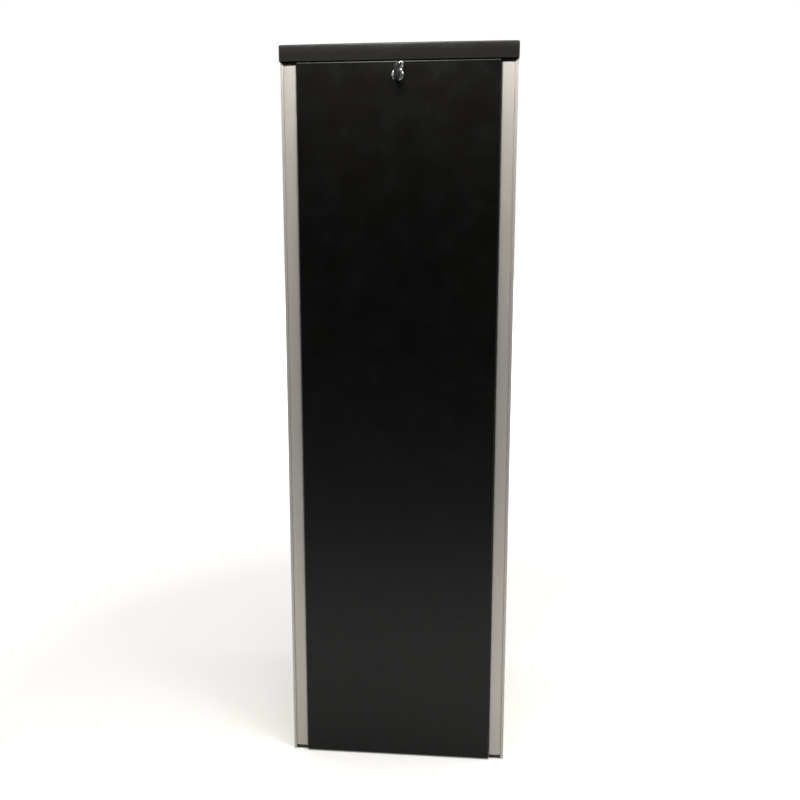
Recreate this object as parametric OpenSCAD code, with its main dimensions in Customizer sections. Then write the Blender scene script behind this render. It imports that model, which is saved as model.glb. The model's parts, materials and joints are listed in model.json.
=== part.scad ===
// Free-standing parcel locker: a tall cabinet with a lifting lid, a one-way
// trap under it, and a bottom-hung front door with a cam lock at its top edge.
// The front faces -Y, +Z is up, and the origin is on the floor at the centre
// of the base.

/* [Cabinet] */
// Width over the side panels
body_w = 380; // [320:1:460]
// Depth from the front posts' faces to the rear panel
body_d = 380; // [340:1:460]
// Height from the floor to the ridge of the lid
total_h = 1223; // [1000:1:1450]
// Thickness of the side, rear and lid sheets
sheet_t = 1.5; // [1:0.1:2]
// Width of the side panel's folded front edge
hem_w = 4.8; // [4:0.1:6]
// Depth of the side panel's folded edge
hem_d = 14; // [10:1:20]
// Thickness of the base plate
base_t = 3; // [2:0.5:5]
// Thickness of the rubber floor mat
mat_t = 3; // [2:0.5:5]

/* [Corner posts] */
// Width of a post's face
post_w = 20.6; // [18:0.1:26]
// Depth of a post
post_d = 40; // [36:1:48]
// Wall of the post extrusion
post_wall = 1.8; // [1.5:0.1:2.5]
// Depth of the shallow cove in a post's face
cove_depth = 0.9; // [0.5:0.1:1.2]
// Height of a post's bottom cap
foot_h = 7.8; // [5:0.1:12]
// Height of a post's top cap
cap_h = 4.2; // [2:0.1:5]
// Inset of the caps from the post's face
cap_inset = 2; // [1:0.1:2.5]

/* [Door] */
// Gap between the door and a post
door_side_gap = 0.8; // [0.5:0.1:1.5]
// How far the door stands proud of the posts
door_proud = 5; // [3:0.1:6]
// Depth of the door over its two skins
door_depth = 29.5; // [27:0.1:34]
// Gap between the door and the floor
door_floor_gap = 1.6; // [1:0.1:3]
// Gap between the door and the lid
door_lid_gap = 0.8; // [0.6:0.1:6]
// Outer radius of the door's folds
fold_r = 2.5; // [2:0.1:3]
// Radius of the door's hinge pins
door_pin_r = 3; // [2.5:0.1:3.5]
// Height of the door's hinge axis
door_axis_z = 9; // [8.5:0.1:12]
// Distance of the door's hinge axis behind the posts' faces
door_axis_back = 2; // [1.5:0.1:3]
// Radial clearance in every running bore
run_fit = 0.05; // [0.02:0.01:0.1]

/* [Lock] */
// Depth of the lock's axis below the door's top edge
lock_drop = 22; // [20:0.5:26]
// Radius of the lock's front flange
flange_r = 9.5; // [9:0.1:11]
// Thickness of the lock's front flange
flange_t = 2; // [1.5:0.1:3]
// Radius of the lock's barrel
barrel_r = 8; // [7.5:0.1:8.5]
// Radius of the turning plug
plug_r = 6; // [5.5:0.1:6.5]
// Reach of the cam from the lock's axis
cam_reach = 17.5; // [16.5:0.5:18]
// Width of the cam
cam_w = 13; // [11:0.5:14]
// Thickness of the cam
cam_t = 2.5; // [2:0.1:3]
// Height of the key's bow
bow_h = 27; // [22:0.5:28]
// Depth of the key's bow
bow_d = 24; // [20:0.5:28]
// Thickness of the key's bow
bow_t = 6.5; // [5:0.1:7]
// Length of the key's blade inside the plug
blade_l = 24; // [20:0.5:26]

/* [Lid] */
// Height of the lid's skirt
skirt_h = 26; // [24:0.1:34]
// Rise of the lid's ridge over its side edges
crown = 0.5; // [0.3:0.1:3]
// Overhang of the lid at the sides and the back
lid_over = 1.2; // [1:0.1:3]
// Reach of the lid beyond the door's face
lid_front = 1; // [0.5:0.1:3]
// Gap between the cabinet's top edge and the lid
lid_gap = 1.2; // [1:0.1:2]
// Radius of the lid hinge's knuckles
knuckle_r = 4; // [3.5:0.1:4.5]
// Radius of the lid hinge's pins
lid_pin_r = 2; // [1.8:0.1:2.2]
// Length of one lid hinge
hinge_l = 60; // [50:1:70]
// Distance of a lid hinge's centre from the middle
hinge_x = 110; // [90:1:115]

/* [Parcel trap] */
// Drop from the cabinet's top edge to the trap's shaft
trap_drop = 155.8; // [140:0.1:220]
// Radius of the trap's shaft
shaft_r = 5; // [4:0.1:6]
// Wire thickness of the trap's springs
wire_d = 2; // [1.6:0.1:2.4]
// Turns of each spring
spring_turns = 9; // [6:1:12]

/* [Fixings] */
// Distance between floor anchor holes, side to side
anchor_x = 240; // [200:1:260]
// Distance between floor anchor holes, front to back
anchor_y = 200; // [160:1:220]
// Radius of the floor anchor holes
anchor_r = 5.5; // [4.5:0.1:7]
// Distance between wall holes, side to side
wall_x = 200; // [160:1:240]
// Distance between wall holes, up and down
wall_z = 600; // [400:1:640]
// Height of the middle of the wall holes
wall_mid_z = 660; // [500:1:700]
// Radius of the wall holes
wall_r = 4.5; // [3.5:0.1:6]
// Radius of a rivet's shank
rivet_r = 2; // [1.6:0.1:2.4]

/* [Hidden] */
$fn = 48;

black = "#1f1f1e";
silver = "#b9b4ab";
steel = "#c8c8c6";
zinc = "#9c9d9b";
rubber = "#2a2a2a";
chrome = "#d8dadc";

// Small cut allowance, so that a cut runs past the face it opens
over = 1;
// Seating gap of rubber and stops that a moving piece rests on
seat_gap = 0.3;

half_w = body_w / 2;
half_d = body_d / 2;
inner_x = half_w - hem_w - post_w;
panel_in = half_w - sheet_t;
lid_bottom = total_h - skirt_h;
rim_z = lid_bottom - lid_gap;
post_top = rim_z - cap_h;

door_half = inner_x - door_side_gap;
door_front = -half_d - door_proud;
door_back = door_front + door_depth;
door_top = lid_bottom - door_lid_gap;
liner_front = door_back - sheet_t;
door_axis_y = -half_d + door_axis_back;
// Room that the door's lower rear edge needs as it turns
door_sweep = norm([door_back - door_axis_y, door_axis_z - door_floor_gap]);
base_front = door_axis_y + door_sweep + 2.5;

lock_z = door_top - lock_drop;
header_front = door_back + 2.5;
header_d = 30;
barrel_end = header_front + 3;
keeper_back = header_front + 2 * sheet_t + 0.5;
cam_front = keeper_back + 1;
header_low = lock_z + 12;
flange_front = door_front - flange_t;
plug_front = flange_front - 0.3;

lid_half = half_w + lid_over;
lid_y0 = door_front - lid_front;
lid_y1 = half_d + lid_over;
knuckle_seat = 0.2;
lid_axis_y = half_d + knuckle_r + knuckle_seat;
lid_axis_z = lid_bottom - knuckle_r;
stiff_low = rim_z + 10;
stiff_y = -half_d + 36;

trap_z = rim_z - trap_drop;
trap_y = half_d - post_d - 12;
trap_half = panel_in - 5.5;
trap_len = trap_y + half_d - post_d - 4;

// Box from its lowest corner to its highest
module span(lo, hi) {
    translate(lo) cube(hi - lo);
}

// Rod along X between two places
module rod_x(r, x0, x1, y, z) {
    translate([x0, y, z]) rotate([0, 90, 0]) cylinder(r = r, h = x1 - x0);
}

// Rod along Y between two places
module rod_y(r, y0, y1, x, z) {
    translate([x, y0, z]) rotate([-90, 0, 0]) cylinder(r = r, h = y1 - y0);
}

// Both halves of a piece that is the same on the left and the right
module both_sides() {
    children();
    mirror([1, 0, 0]) children();
}

// Both halves of a piece that is the same at the front and the back
module front_and_rear() {
    children();
    mirror([0, 1, 0]) children();
}

// Places of the four holes of a rectangle of fixings
function corners(dx, dy) = [for (sx = [-1, 1]) for (sy = [-1, 1]) [sx * dx / 2, sy * dy / 2]];

// ---- Base ----

module anchor_holes(r) {
    for (p = corners(anchor_x, anchor_y))
        translate([p[0], p[1], -over]) cylinder(r = r, h = base_t + mat_t + 2 * over);
}

module base_outline() {
    polygon([
        [-inner_x, base_front], [inner_x, base_front],
        [inner_x, post_d - half_d], [panel_in, post_d - half_d],
        [panel_in, half_d - post_d], [inner_x, half_d - post_d],
        [inner_x, half_d - sheet_t], [-inner_x, half_d - sheet_t],
        [-inner_x, half_d - post_d], [-panel_in, half_d - post_d],
        [-panel_in, post_d - half_d], [-inner_x, post_d - half_d]
    ]);
}

module base_plate() {
    color(black) difference() {
        linear_extrude(base_t) base_outline();
        anchor_holes(anchor_r);
    }
}

// Angles that tie the side panels to the base plate
angle_leg = 25;
angle_half_l = half_d - post_d - 10;

module base_side_angles() {
    color(zinc) both_sides() {
        span([panel_in - sheet_t, -angle_half_l, base_t], [panel_in, angle_half_l, base_t + angle_leg]);
        span([panel_in - angle_leg, -angle_half_l, base_t],
             [panel_in - sheet_t, angle_half_l, base_t + sheet_t]);
    }
}

mat_gap = 2;

module floor_mat() {
    mat_half = min(panel_in - angle_leg, inner_x) - mat_gap;
    color(rubber) difference() {
        span([-mat_half, base_front + 34, base_t], [mat_half, half_d - sheet_t - mat_gap, base_t + mat_t]);
        anchor_holes(anchor_r + 4);
    }
}

// ---- Panels ----

module side_panel_outline() {
    difference() {
        translate([inner_x + post_w, -half_d]) square([hem_w, body_d]);
        translate([inner_x + post_w + sheet_t, sheet_t - half_d])
            square([hem_w - 2 * sheet_t, body_d - 2 * sheet_t]);
        translate([inner_x + post_w - over, hem_d - half_d])
            square([sheet_t + 2 * over, body_d - 2 * hem_d]);
    }
}

module side_panel(side) {
    color(silver) difference() {
        mirror([side < 0 ? 1 : 0, 0, 0]) linear_extrude(rim_z) side_panel_outline();
        trap_rivet_bores();
    }
}

module side_panel_left() { side_panel(-1); }
module side_panel_right() { side_panel(1); }

module wall_holes() {
    for (p = corners(wall_x, wall_z))
        rod_y(wall_r, half_d - sheet_t - over, half_d + over, p[0], wall_mid_z + p[1]);
}

module rear_panel() {
    color(black) difference() {
        span([-inner_x, half_d - sheet_t, 0], [inner_x, half_d, post_top]);
        wall_holes();
        body_leaf_bores();
    }
}

// ---- Corner posts ----

cove_w = post_w - 4.2;
cove_r = (cove_w * cove_w / 4 + cove_depth * cove_depth) / (2 * cove_depth);
line_w = 0.6;

// The tube's outline, with a shallow cove and a fine line in its face
module post_outline() {
    difference() {
        translate([inner_x, -half_d]) square([post_w, post_d]);
        translate([inner_x + post_wall, post_wall + cove_depth - half_d])
            square([post_w - 2 * post_wall, post_d - 2 * post_wall - cove_depth]);
        translate([inner_x + post_w - 0.8 - cove_w / 2, -half_d + cove_depth - cove_r])
            circle(r = cove_r, $fn = 180);
        translate([inner_x + 1.8, -half_d - over]) square([line_w, over + 0.5]);
    }
}

module post(side, end) {
    color(silver)
        mirror([side < 0 ? 1 : 0, 0, 0]) mirror([0, end > 0 ? 1 : 0, 0])
            translate([0, 0, foot_h]) linear_extrude(post_top - foot_h) post_outline();
}

module front_post_left() { post(-1, -1); }
module front_post_right() { post(1, -1); }
module rear_post_left() { post(-1, 1); }
module rear_post_right() { post(1, 1); }

plug_l = 12;
plug_gap = 0.2;

// A cap with a plug that enters the post's tube
module post_cap(z0, z1, plug_z0, plug_z1) {
    gap = post_wall + plug_gap;
    span([inner_x, cap_inset - half_d, z0], [inner_x + post_w, post_d - half_d, z1]);
    span([inner_x + gap, gap + cove_depth - half_d, plug_z0],
         [inner_x + post_w - gap, post_d - gap - half_d, plug_z1]);
}

module post_top_caps() {
    color(black) both_sides() front_and_rear() post_cap(post_top, rim_z, post_top - plug_l, post_top + 1);
}

module post_bottom_caps() {
    color(black) both_sides() front_and_rear() post_cap(0, foot_h, foot_h - 1, foot_h + plug_l);
}

// ---- Top frame ----

module header_rail() {
    color(black) {
        span([-inner_x, header_front, rim_z - sheet_t], [inner_x, header_front + header_d, rim_z]);
        span([-inner_x, header_front, header_low], [inner_x, header_front + sheet_t, rim_z - sheet_t]);
    }
}

rail_d = 33;
rail_h = 20;

module rear_top_rail() {
    back = half_d - sheet_t;
    color(black) difference() {
        union() {
            span([-inner_x, back - rail_d, rim_z - sheet_t], [inner_x, back, rim_z]);
            span([-inner_x, back - sheet_t, rim_z - rail_h - 16], [inner_x, back, rim_z - sheet_t]);
        }
        body_leaf_bores();
    }
}

module top_rail(side) {
    rail_half = half_d - post_d;
    color(black) mirror([side < 0 ? 1 : 0, 0, 0]) {
        span([panel_in - 16, -rail_half, rim_z - sheet_t], [panel_in, rail_half, rim_z]);
        span([panel_in - sheet_t, -rail_half, rim_z - rail_h], [panel_in, rail_half, rim_z - sheet_t]);
    }
}

module top_rail_left() { top_rail(-1); }
module top_rail_right() { top_rail(1); }

module lock_keeper() {
    color(zinc)
        span([-22, header_front + sheet_t, header_low], [22, keeper_back, rim_z - sheet_t]);
}

gasket_w = 8;

module rim_gasket() {
    out_x = half_w - hem_w - 1.5;
    front = header_front + 5;
    rear = half_d - 20;
    color(rubber) difference() {
        span([-out_x, front, rim_z], [out_x, rear, stiff_low - seat_gap]);
        span([gasket_w - out_x, front + gasket_w, rim_z - over],
             [out_x - gasket_w, rear - gasket_w, stiff_low + over]);
    }
}

module door_buffers() {
    color(rubber) both_sides()
        rod_y(3, door_back + seat_gap, header_front, inner_x - 35, rim_z - 5);
}

// ---- Door pivots on the cabinet ----

ear_x = inner_x - 12;
ear_t = 3;
ear_r = 5;
foot_x = 22;
ear_back = base_front + 30;

module bracket_rivet_places(r, z0, z1) {
    for (y = [base_front + 8, base_front + 22])
        translate([ear_x - foot_x / 2 - ear_t / 2, y, z0]) cylinder(r = r, h = z1 - z0);
}

module door_pivot_bracket() {
    difference() {
        union() {
            span([ear_x - ear_t / 2, door_axis_y, door_axis_z - ear_r],
                 [ear_x + ear_t / 2, ear_back, door_axis_z + ear_r]);
            span([ear_x - ear_t / 2, base_front, base_t], [ear_x + ear_t / 2, ear_back, door_axis_z]);
            span([ear_x - ear_t / 2 - foot_x, base_front, base_t], [ear_x, ear_back, base_t + ear_t]);
            rod_x(ear_r, ear_x - ear_t / 2, ear_x + ear_t / 2, door_axis_y, door_axis_z);
        }
        rod_x(door_pin_r + run_fit, ear_x - ear_t, ear_x + ear_t, door_axis_y, door_axis_z);
        bracket_rivet_places(rivet_r, 0, base_t + 2 * ear_t);
    }
}

module door_pivot_brackets() {
    color(zinc) both_sides() door_pivot_bracket();
}

rivet_head_h = 1.2;

module pivot_bracket_rivets() {
    top = base_t + ear_t;
    color(steel) both_sides() {
        bracket_rivet_places(rivet_r, base_t, top + 0.1);
        bracket_rivet_places(rivet_r * 1.8, top, top + rivet_head_h);
    }
}

// ---- Lid hinges ----

leaf_t = 1.5;
leaf_h = 26;
knuckle_gap = 0.4;
end_l = hinge_l * 0.3;

module at_hinges() {
    for (side = [-1, 1]) translate([side * hinge_x, lid_axis_y, lid_axis_z]) children();
}

leaf_rivets_x = [-hinge_l / 2 + 9, 0, hinge_l / 2 - 9];

module body_leaf_bores() {
    at_hinges() for (x = leaf_rivets_x)
        rod_y(rivet_r, half_d - 2 * sheet_t - over - lid_axis_y, half_d + leaf_t + over - lid_axis_y, x, 8 - leaf_h);
}

module body_leaf() {
    back = half_d - lid_axis_y;
    for (s = [-1, 1]) {
        x0 = s > 0 ? hinge_l / 2 - end_l : -hinge_l / 2;
        rod_x(knuckle_r, x0, x0 + end_l, 0, 0);
        span([x0, back, -knuckle_r - 1], [x0 + end_l, back + leaf_t, 0]);
    }
    span([-hinge_l / 2, back, -leaf_h], [hinge_l / 2, back + leaf_t, -knuckle_r - knuckle_gap]);
}

module body_hinge_leaves() {
    color(steel) difference() {
        at_hinges() body_leaf();
        at_hinges() rod_x(lid_pin_r, -hinge_l, hinge_l, 0, 0);
        body_leaf_bores();
    }
}

module body_hinge_rivets() {
    y0 = half_d - 2 * sheet_t - lid_axis_y;
    y1 = half_d + leaf_t - lid_axis_y;
    color(steel) at_hinges() for (x = leaf_rivets_x) {
        rod_y(rivet_r, y0, y1 + 0.1, x, 8 - leaf_h);
        rod_y(rivet_r * 1.8, y1, y1 + rivet_head_h, x, 8 - leaf_h);
    }
}

module lid_hinge_pins() {
    color(steel) at_hinges() rod_x(lid_pin_r, -hinge_l / 2 - 1, hinge_l / 2 + 1, 0, 0);
}

lid_leaf_rivet_z = knuckle_r + 12;

module lid_leaf_bores() {
    skin_out = lid_y1 - lid_axis_y;
    at_hinges() for (x = leaf_rivets_x)
        rod_y(rivet_r, skin_out - sheet_t - over, skin_out + leaf_t + over, x, lid_leaf_rivet_z);
}

module lid_leaf() {
    skin_out = lid_y1 - lid_axis_y;
    mid_half = hinge_l / 2 - end_l - knuckle_gap;
    rod_x(knuckle_r, -mid_half, mid_half, 0, 0);
    span([-mid_half, skin_out, 0], [mid_half, skin_out + leaf_t, knuckle_r + 2]);
    span([-hinge_l / 2, skin_out, knuckle_r + knuckle_gap], [hinge_l / 2, skin_out + leaf_t, leaf_h - 4]);
}

module lid_hinge_leaves() {
    color(steel) difference() {
        at_hinges() lid_leaf();
        at_hinges() rod_x(lid_pin_r + run_fit, -hinge_l, hinge_l, 0, 0);
        lid_leaf_bores();
    }
}

module lid_hinge_rivets() {
    skin_out = lid_y1 - lid_axis_y;
    color(steel) at_hinges() for (x = leaf_rivets_x) {
        rod_y(rivet_r, skin_out - sheet_t, skin_out + leaf_t + 0.1, x, lid_leaf_rivet_z);
        rod_y(rivet_r * 1.8, skin_out + leaf_t, skin_out + leaf_t + rivet_head_h, x, lid_leaf_rivet_z);
    }
}

// ---- Lid ----

// Upright section of the lid: a skirt with a shallow ridge over it
module lid_outline(inset, low) {
    polygon([
        [inset - lid_half, low], [lid_half - inset, low],
        [lid_half - inset, total_h - crown - inset], [0, total_h - inset],
        [inset - lid_half, total_h - crown - inset]
    ]);
}

module lid_bar(inset, low, y0, y1) {
    translate([0, y1, 0]) rotate([90, 0, 0]) linear_extrude(y1 - y0) lid_outline(inset, low);
}

module lid_skin() {
    color(black) difference() {
        lid_bar(0, lid_bottom, lid_y0, lid_y1);
        lid_bar(sheet_t, lid_bottom - over, lid_y0 + sheet_t, lid_y1 - sheet_t);
        lid_leaf_bores();
    }
}

stiff_w = 34;
stiff_in = 12;

// Open channel that stiffens the lid and lands on the gasket
module lid_stiffener() {
    color(black) difference() {
        intersection() {
            lid_bar(sheet_t, stiff_low, stiff_y - stiff_w / 2, stiff_y + stiff_w / 2);
            span([stiff_in - lid_half, lid_y0, stiff_low - over], [lid_half - stiff_in, lid_y1, total_h]);
        }
        span([-lid_half, stiff_y + sheet_t - stiff_w / 2, stiff_low + sheet_t],
             [lid_half, stiff_y - sheet_t + stiff_w / 2, total_h]);
    }
}

// ---- Parcel trap ----

bracket_t = 3;
bracket_h = 44;

module trap_rivet_places(r, x0, x1) {
    for (dy = [-14, 14])
        both_sides() rod_x(r, x0, x1, trap_y + dy * 0.6, trap_z + dy);
}

module trap_rivet_bores() {
    trap_rivet_places(rivet_r, panel_in - bracket_t - over, half_w + over);
}

module trap_brackets() {
    color(zinc) difference() {
        both_sides() span([panel_in - bracket_t, trap_y - 16, trap_z - bracket_h / 2],
                          [panel_in, trap_y + 11.5, trap_z + bracket_h / 2]);
        rod_x(shaft_r + run_fit, -body_w, body_w, trap_y, trap_z);
        trap_rivet_bores();
    }
}

module trap_bracket_rivets() {
    color(silver) {
        trap_rivet_places(rivet_r, panel_in - bracket_t, half_w);
        trap_rivet_places(rivet_r * 1.6, panel_in - bracket_t - 1, panel_in - bracket_t);
    }
}

coil_r = shaft_r + 1 + wire_d / 2;

// Close-wound torsion spring, each turn a ring of wire, with a leg to the bracket
module trap_spring() {
    x0 = panel_in - bracket_t - wire_d / 2 - 0.1;
    for (i = [0:spring_turns - 1])
        translate([x0 - i * wire_d * 0.96, trap_y, trap_z]) rotate([0, 90, 0])
            rotate_extrude() translate([coil_r, 0]) circle(d = wire_d, $fn = 16);
    translate([x0, trap_y + coil_r, trap_z - 22]) cylinder(d = wire_d * 0.9, h = 22, $fn = 16);
}

module trap_springs() {
    color(steel) both_sides() trap_spring();
}

module trap_stops() {
    y0 = trap_y - trap_len + 6;
    z0 = trap_z + sheet_t / 2 + seat_gap;
    color(zinc) both_sides() {
        span([panel_in - 14, y0, z0], [panel_in, y0 + 30, z0 + 2]);
        span([panel_in - 2, y0, z0 + 2], [panel_in, y0 + 30, z0 + 24]);
    }
}

sleeve_wall = 2;
sleeve_half = trap_half - 24;
flap_lip = 14;

module flap_rivet_places(r, y0, y1) {
    for (i = [-2:2])
        translate([i * sleeve_half / 2.5, trap_y - shaft_r - sleeve_wall - 8, trap_z + y0])
            cylinder(r = r, h = y1 - y0);
}

// Flap with a downward front lip, side lips and a sleeve that grips the shaft
module trap_flap() {
    y0 = trap_y - trap_len;
    half_t = sheet_t / 2;
    color(zinc) difference() {
        union() {
            span([-trap_half, y0, trap_z - half_t], [trap_half, trap_y - 22, trap_z + half_t]);
            span([-sleeve_half, trap_y - 23, trap_z - half_t], [sleeve_half, trap_y, trap_z + half_t]);
            span([-trap_half, y0, trap_z - flap_lip], [trap_half, y0 + sheet_t, trap_z]);
            both_sides() span([trap_half - sheet_t, y0, trap_z - flap_lip], [trap_half, trap_y - 26, trap_z]);
            rod_x(shaft_r + sleeve_wall, -sleeve_half, sleeve_half, trap_y, trap_z);
        }
        rod_x(shaft_r, -body_w, body_w, trap_y, trap_z);
        flap_rivet_places(rivet_r, -over, over);
    }
}

module trap_flap_rivets() {
    half_t = sheet_t / 2;
    color(steel) {
        flap_rivet_places(rivet_r, -half_t, half_t + 0.1);
        flap_rivet_places(rivet_r * 1.8, half_t, half_t + rivet_head_h);
    }
}

module trap_shaft() {
    color(steel) rod_x(shaft_r, 0.5 - panel_in, panel_in - 0.5, trap_y, trap_z);
}

// ---- Door ----

// Folded tray, its front edges and corners rounded by the folds
module door_block(inset) {
    half = door_half - inset;
    front = door_front + inset;
    low = door_floor_gap + inset;
    high = door_top - inset;
    r = fold_r - inset;
    intersection() {
        translate([0, 0, low]) linear_extrude(high - low) union() {
            translate([-half, front + r]) square([2 * half, door_depth]);
            translate([r - half, front]) square([2 * (half - r), door_depth]);
            for (s = [-1, 1]) translate([s * (half - r), front + r]) circle(r = r);
        }
        union() {
            span([-half - over, front + r, low], [half + over, door_back, high]);
            span([-half - over, front, low + r], [half + over, door_back, high - r]);
            for (z = [low + r, high - r]) rod_x(r, -half - over, half + over, front + r, z);
        }
    }
}

// Slots that leave the cabinet's pivot ears free as the door turns
module ear_slots() {
    slot = ear_t / 2 + 1.5;
    both_sides() span([ear_x - slot, door_front + sheet_t, -over],
                      [ear_x + slot, door_back + over, door_axis_z + ear_r + 1.5]);
}

module door_skin() {
    color(black) difference() {
        door_block(0);
        door_block(sheet_t);
        span([-door_half - over, liner_front, -over], [door_half + over, door_back + 2 * over, total_h]);
        ear_slots();
        rod_x(door_pin_r, -body_w, body_w, door_axis_y, door_axis_z);
        rod_y(barrel_r, door_front - over, door_front + 5, 0, lock_z);
    }
}

liner_screw_r = 1.75;

module liner_screw_places(r, y0, y1) {
    for (z = [door_floor_gap + 60, (door_top + door_floor_gap) / 2, door_top - 60])
        both_sides() rod_y(r, y0, y1, rib_x, z);
}

module door_liner() {
    color(zinc) difference() {
        span([-door_half, liner_front, door_floor_gap], [door_half, door_back, door_top]);
        ear_slots();
        rod_y(barrel_r + 6, liner_front - over, door_back + over, 0, lock_z);
        liner_screw_places(liner_screw_r, liner_front - over, door_back + over);
    }
}

rib_x = 80;
rib_w = 40;

// Upright channels between the door's two skins
module door_stiffeners() {
    front = door_front + sheet_t;
    color(zinc) difference() {
        both_sides() span([rib_x - rib_w / 2, front, door_floor_gap + 20],
                          [rib_x + rib_w / 2, liner_front, door_top - 40]);
        both_sides() span([rib_x + sheet_t - rib_w / 2, front - over, door_floor_gap],
                          [rib_x - sheet_t + rib_w / 2, liner_front - sheet_t, door_top]);
        liner_screw_places(liner_screw_r, liner_front - 2 * sheet_t, door_back);
    }
}

module liner_screws() {
    color(steel) {
        liner_screw_places(liner_screw_r, liner_front - sheet_t, door_back + 0.1);
        liner_screw_places(3.2, door_back, door_back + 1.4);
    }
}

pin_in = ear_x - 10;

module door_hinge_pins() {
    color(steel) both_sides() rod_x(door_pin_r, pin_in - 2, door_half, door_axis_y, door_axis_z);
}

// Plates inside the door that carry the inner ends of its pins
module door_pin_brackets() {
    front = door_front + sheet_t;
    color(zinc) difference() {
        both_sides() {
            span([pin_in - ear_t / 2, front, door_floor_gap + fold_r],
                 [pin_in + ear_t / 2, liner_front, door_axis_z + 26]);
            span([pin_in - 16, front, door_axis_z + 8], [pin_in, front + sheet_t, door_axis_z + 26]);
        }
        rod_x(door_pin_r, -body_w, body_w, door_axis_y, door_axis_z);
    }
}

// ---- Lock ----

pivot_x = 5.5;
pivot_dz = 5.6;
rivet_pin_r = 1.2;

module lock_housing() {
    color(chrome) difference() {
        union() {
            rod_y(flange_r, flange_front, door_front, 0, lock_z);
            rod_y(barrel_r, flange_front, barrel_end, 0, lock_z);
        }
        rod_y(plug_r + run_fit, flange_front - over, barrel_end + over, 0, lock_z);
    }
}

nut_af = 22;
nut_t = 4;

module lock_nut() {
    front = door_front + sheet_t;
    color(steel) difference() {
        translate([0, front, lock_z]) rotate([-90, 0, 0])
            cylinder(r = nut_af / 2 / cos(30), h = nut_t, $fn = 6);
        rod_y(barrel_r, front - over, front + nut_t + over, 0, lock_z);
    }
}

slot_h = 8;
slot_w = 2.4;
blade_gap = 0.2;
cam_screw_r = 1.8;

module lock_plug() {
    color(chrome) difference() {
        rod_y(plug_r, plug_front, cam_front, 0, lock_z);
        span([-slot_w / 2, plug_front - over, lock_z - slot_h / 2],
             [slot_w / 2, plug_front + blade_l + 1, lock_z + slot_h / 2]);
        rod_y(cam_screw_r, cam_front - 7, cam_front + over, 0, lock_z);
    }
}

// Cam at rest: it points sideways, clear of the keeper
module lock_cam() {
    color(steel) difference() {
        union() {
            rod_y(cam_w / 2, cam_front, cam_front + cam_t, 0, lock_z);
            span([0, cam_front, lock_z - cam_w / 2 + 1],
                 [cam_reach, cam_front + cam_t, lock_z + cam_w / 2 - 1]);
        }
        rod_y(cam_screw_r, cam_front - over, cam_front + cam_t + over, 0, lock_z);
    }
}

module cam_screw() {
    back = cam_front + cam_t;
    color(zinc) {
        rod_y(cam_screw_r, cam_front - 6, back + 0.1, 0, lock_z);
        rod_y(4, back, back + 2.4, 0, lock_z);
    }
}

bow_gap = 4;
bow_back = plug_front - bow_gap;

module key_blade() {
    half_h = slot_h / 2 - blade_gap;
    half_t = slot_w / 2 - blade_gap;
    color(chrome) difference() {
        span([-half_t, bow_back - 10, lock_z - half_h], [half_t, plug_front + blade_l, lock_z + half_h]);
        for (i = [0:4])
            translate([0, plug_front + 4 + i * 4, lock_z - half_h]) rotate([0, 90, 0])
                cylinder(r = 0.6 + 0.25 * (i % 3), h = 4 * half_t, center = true, $fn = 24);
    }
}

bow_r = 6;

// Moulded grip with rounded corners, and a slot that holds the blade's shank
module key_bow() {
    half_h = bow_h / 2;
    front = bow_back - bow_d;
    color("#262a27") difference() {
        translate([-bow_t / 2, 0, 0]) rotate([90, 0, 90]) linear_extrude(bow_t) union() {
            translate([front + bow_r, lock_z - half_h]) square([bow_d - 2 * bow_r, bow_h]);
            translate([front, lock_z - half_h + bow_r]) square([bow_d, bow_h - 2 * bow_r]);
            for (y = [front + bow_r, bow_back - bow_r]) for (s = [-1, 1])
                translate([y, lock_z + s * (half_h - bow_r)]) circle(r = bow_r);
        }
        span([blade_gap - slot_w / 2, bow_back - 10, lock_z - slot_h / 2 + blade_gap],
             [slot_w / 2 - blade_gap, bow_back + over, lock_z + slot_h / 2 - blade_gap]);
        rod_x(2.6, -bow_t, bow_t, front + 6, lock_z);
    }
}

shutter_t = 1;
shutter_gap = 0.5;
shutter_back = plug_front - shutter_gap;
shutter_front = shutter_back - shutter_t;
shutter_r = 4.5;
shutter_reach = 9;

// Small cover, swung up clear of the keyway
module dust_shutter() {
    z = lock_z + pivot_dz;
    color(chrome) difference() {
        union() {
            rod_y(3.2, shutter_front, shutter_back, pivot_x, z);
            rod_y(shutter_r, shutter_front, shutter_back, pivot_x, z + shutter_reach);
            span([pivot_x - 3.2, shutter_front, z], [pivot_x + 3.2, shutter_back, z + shutter_reach]);
        }
        rod_y(rivet_pin_r + run_fit, shutter_front - over, shutter_back + over, pivot_x, z);
    }
}

module shutter_rivet() {
    z = lock_z + pivot_dz;
    head = shutter_front - 0.1;
    color(chrome) {
        rod_y(rivet_pin_r, head - 0.1, flange_front, pivot_x, z);
        rod_y(2, head - 0.8, head, pivot_x, z);
    }
}

base_plate();
base_side_angles();
floor_mat();
side_panel_left();
side_panel_right();
rear_panel();
front_post_left();
front_post_right();
rear_post_left();
rear_post_right();
post_top_caps();
post_bottom_caps();
header_rail();
rear_top_rail();
top_rail_left();
top_rail_right();
lock_keeper();
rim_gasket();
door_buffers();
door_pivot_brackets();
pivot_bracket_rivets();
body_hinge_leaves();
body_hinge_rivets();
lid_hinge_pins();
trap_brackets();
trap_bracket_rivets();
trap_springs();
trap_stops();
door_skin();
door_liner();
door_stiffeners();
door_hinge_pins();
door_pin_brackets();
liner_screws();
lock_housing();
lock_nut();
shutter_rivet();
lock_plug();
lock_cam();
cam_screw();
key_blade();
key_bow();
dust_shutter();
lid_skin();
lid_stiffener();
lid_hinge_leaves();
lid_hinge_rivets();
trap_flap();
trap_flap_rivets();
trap_shaft();
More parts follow.
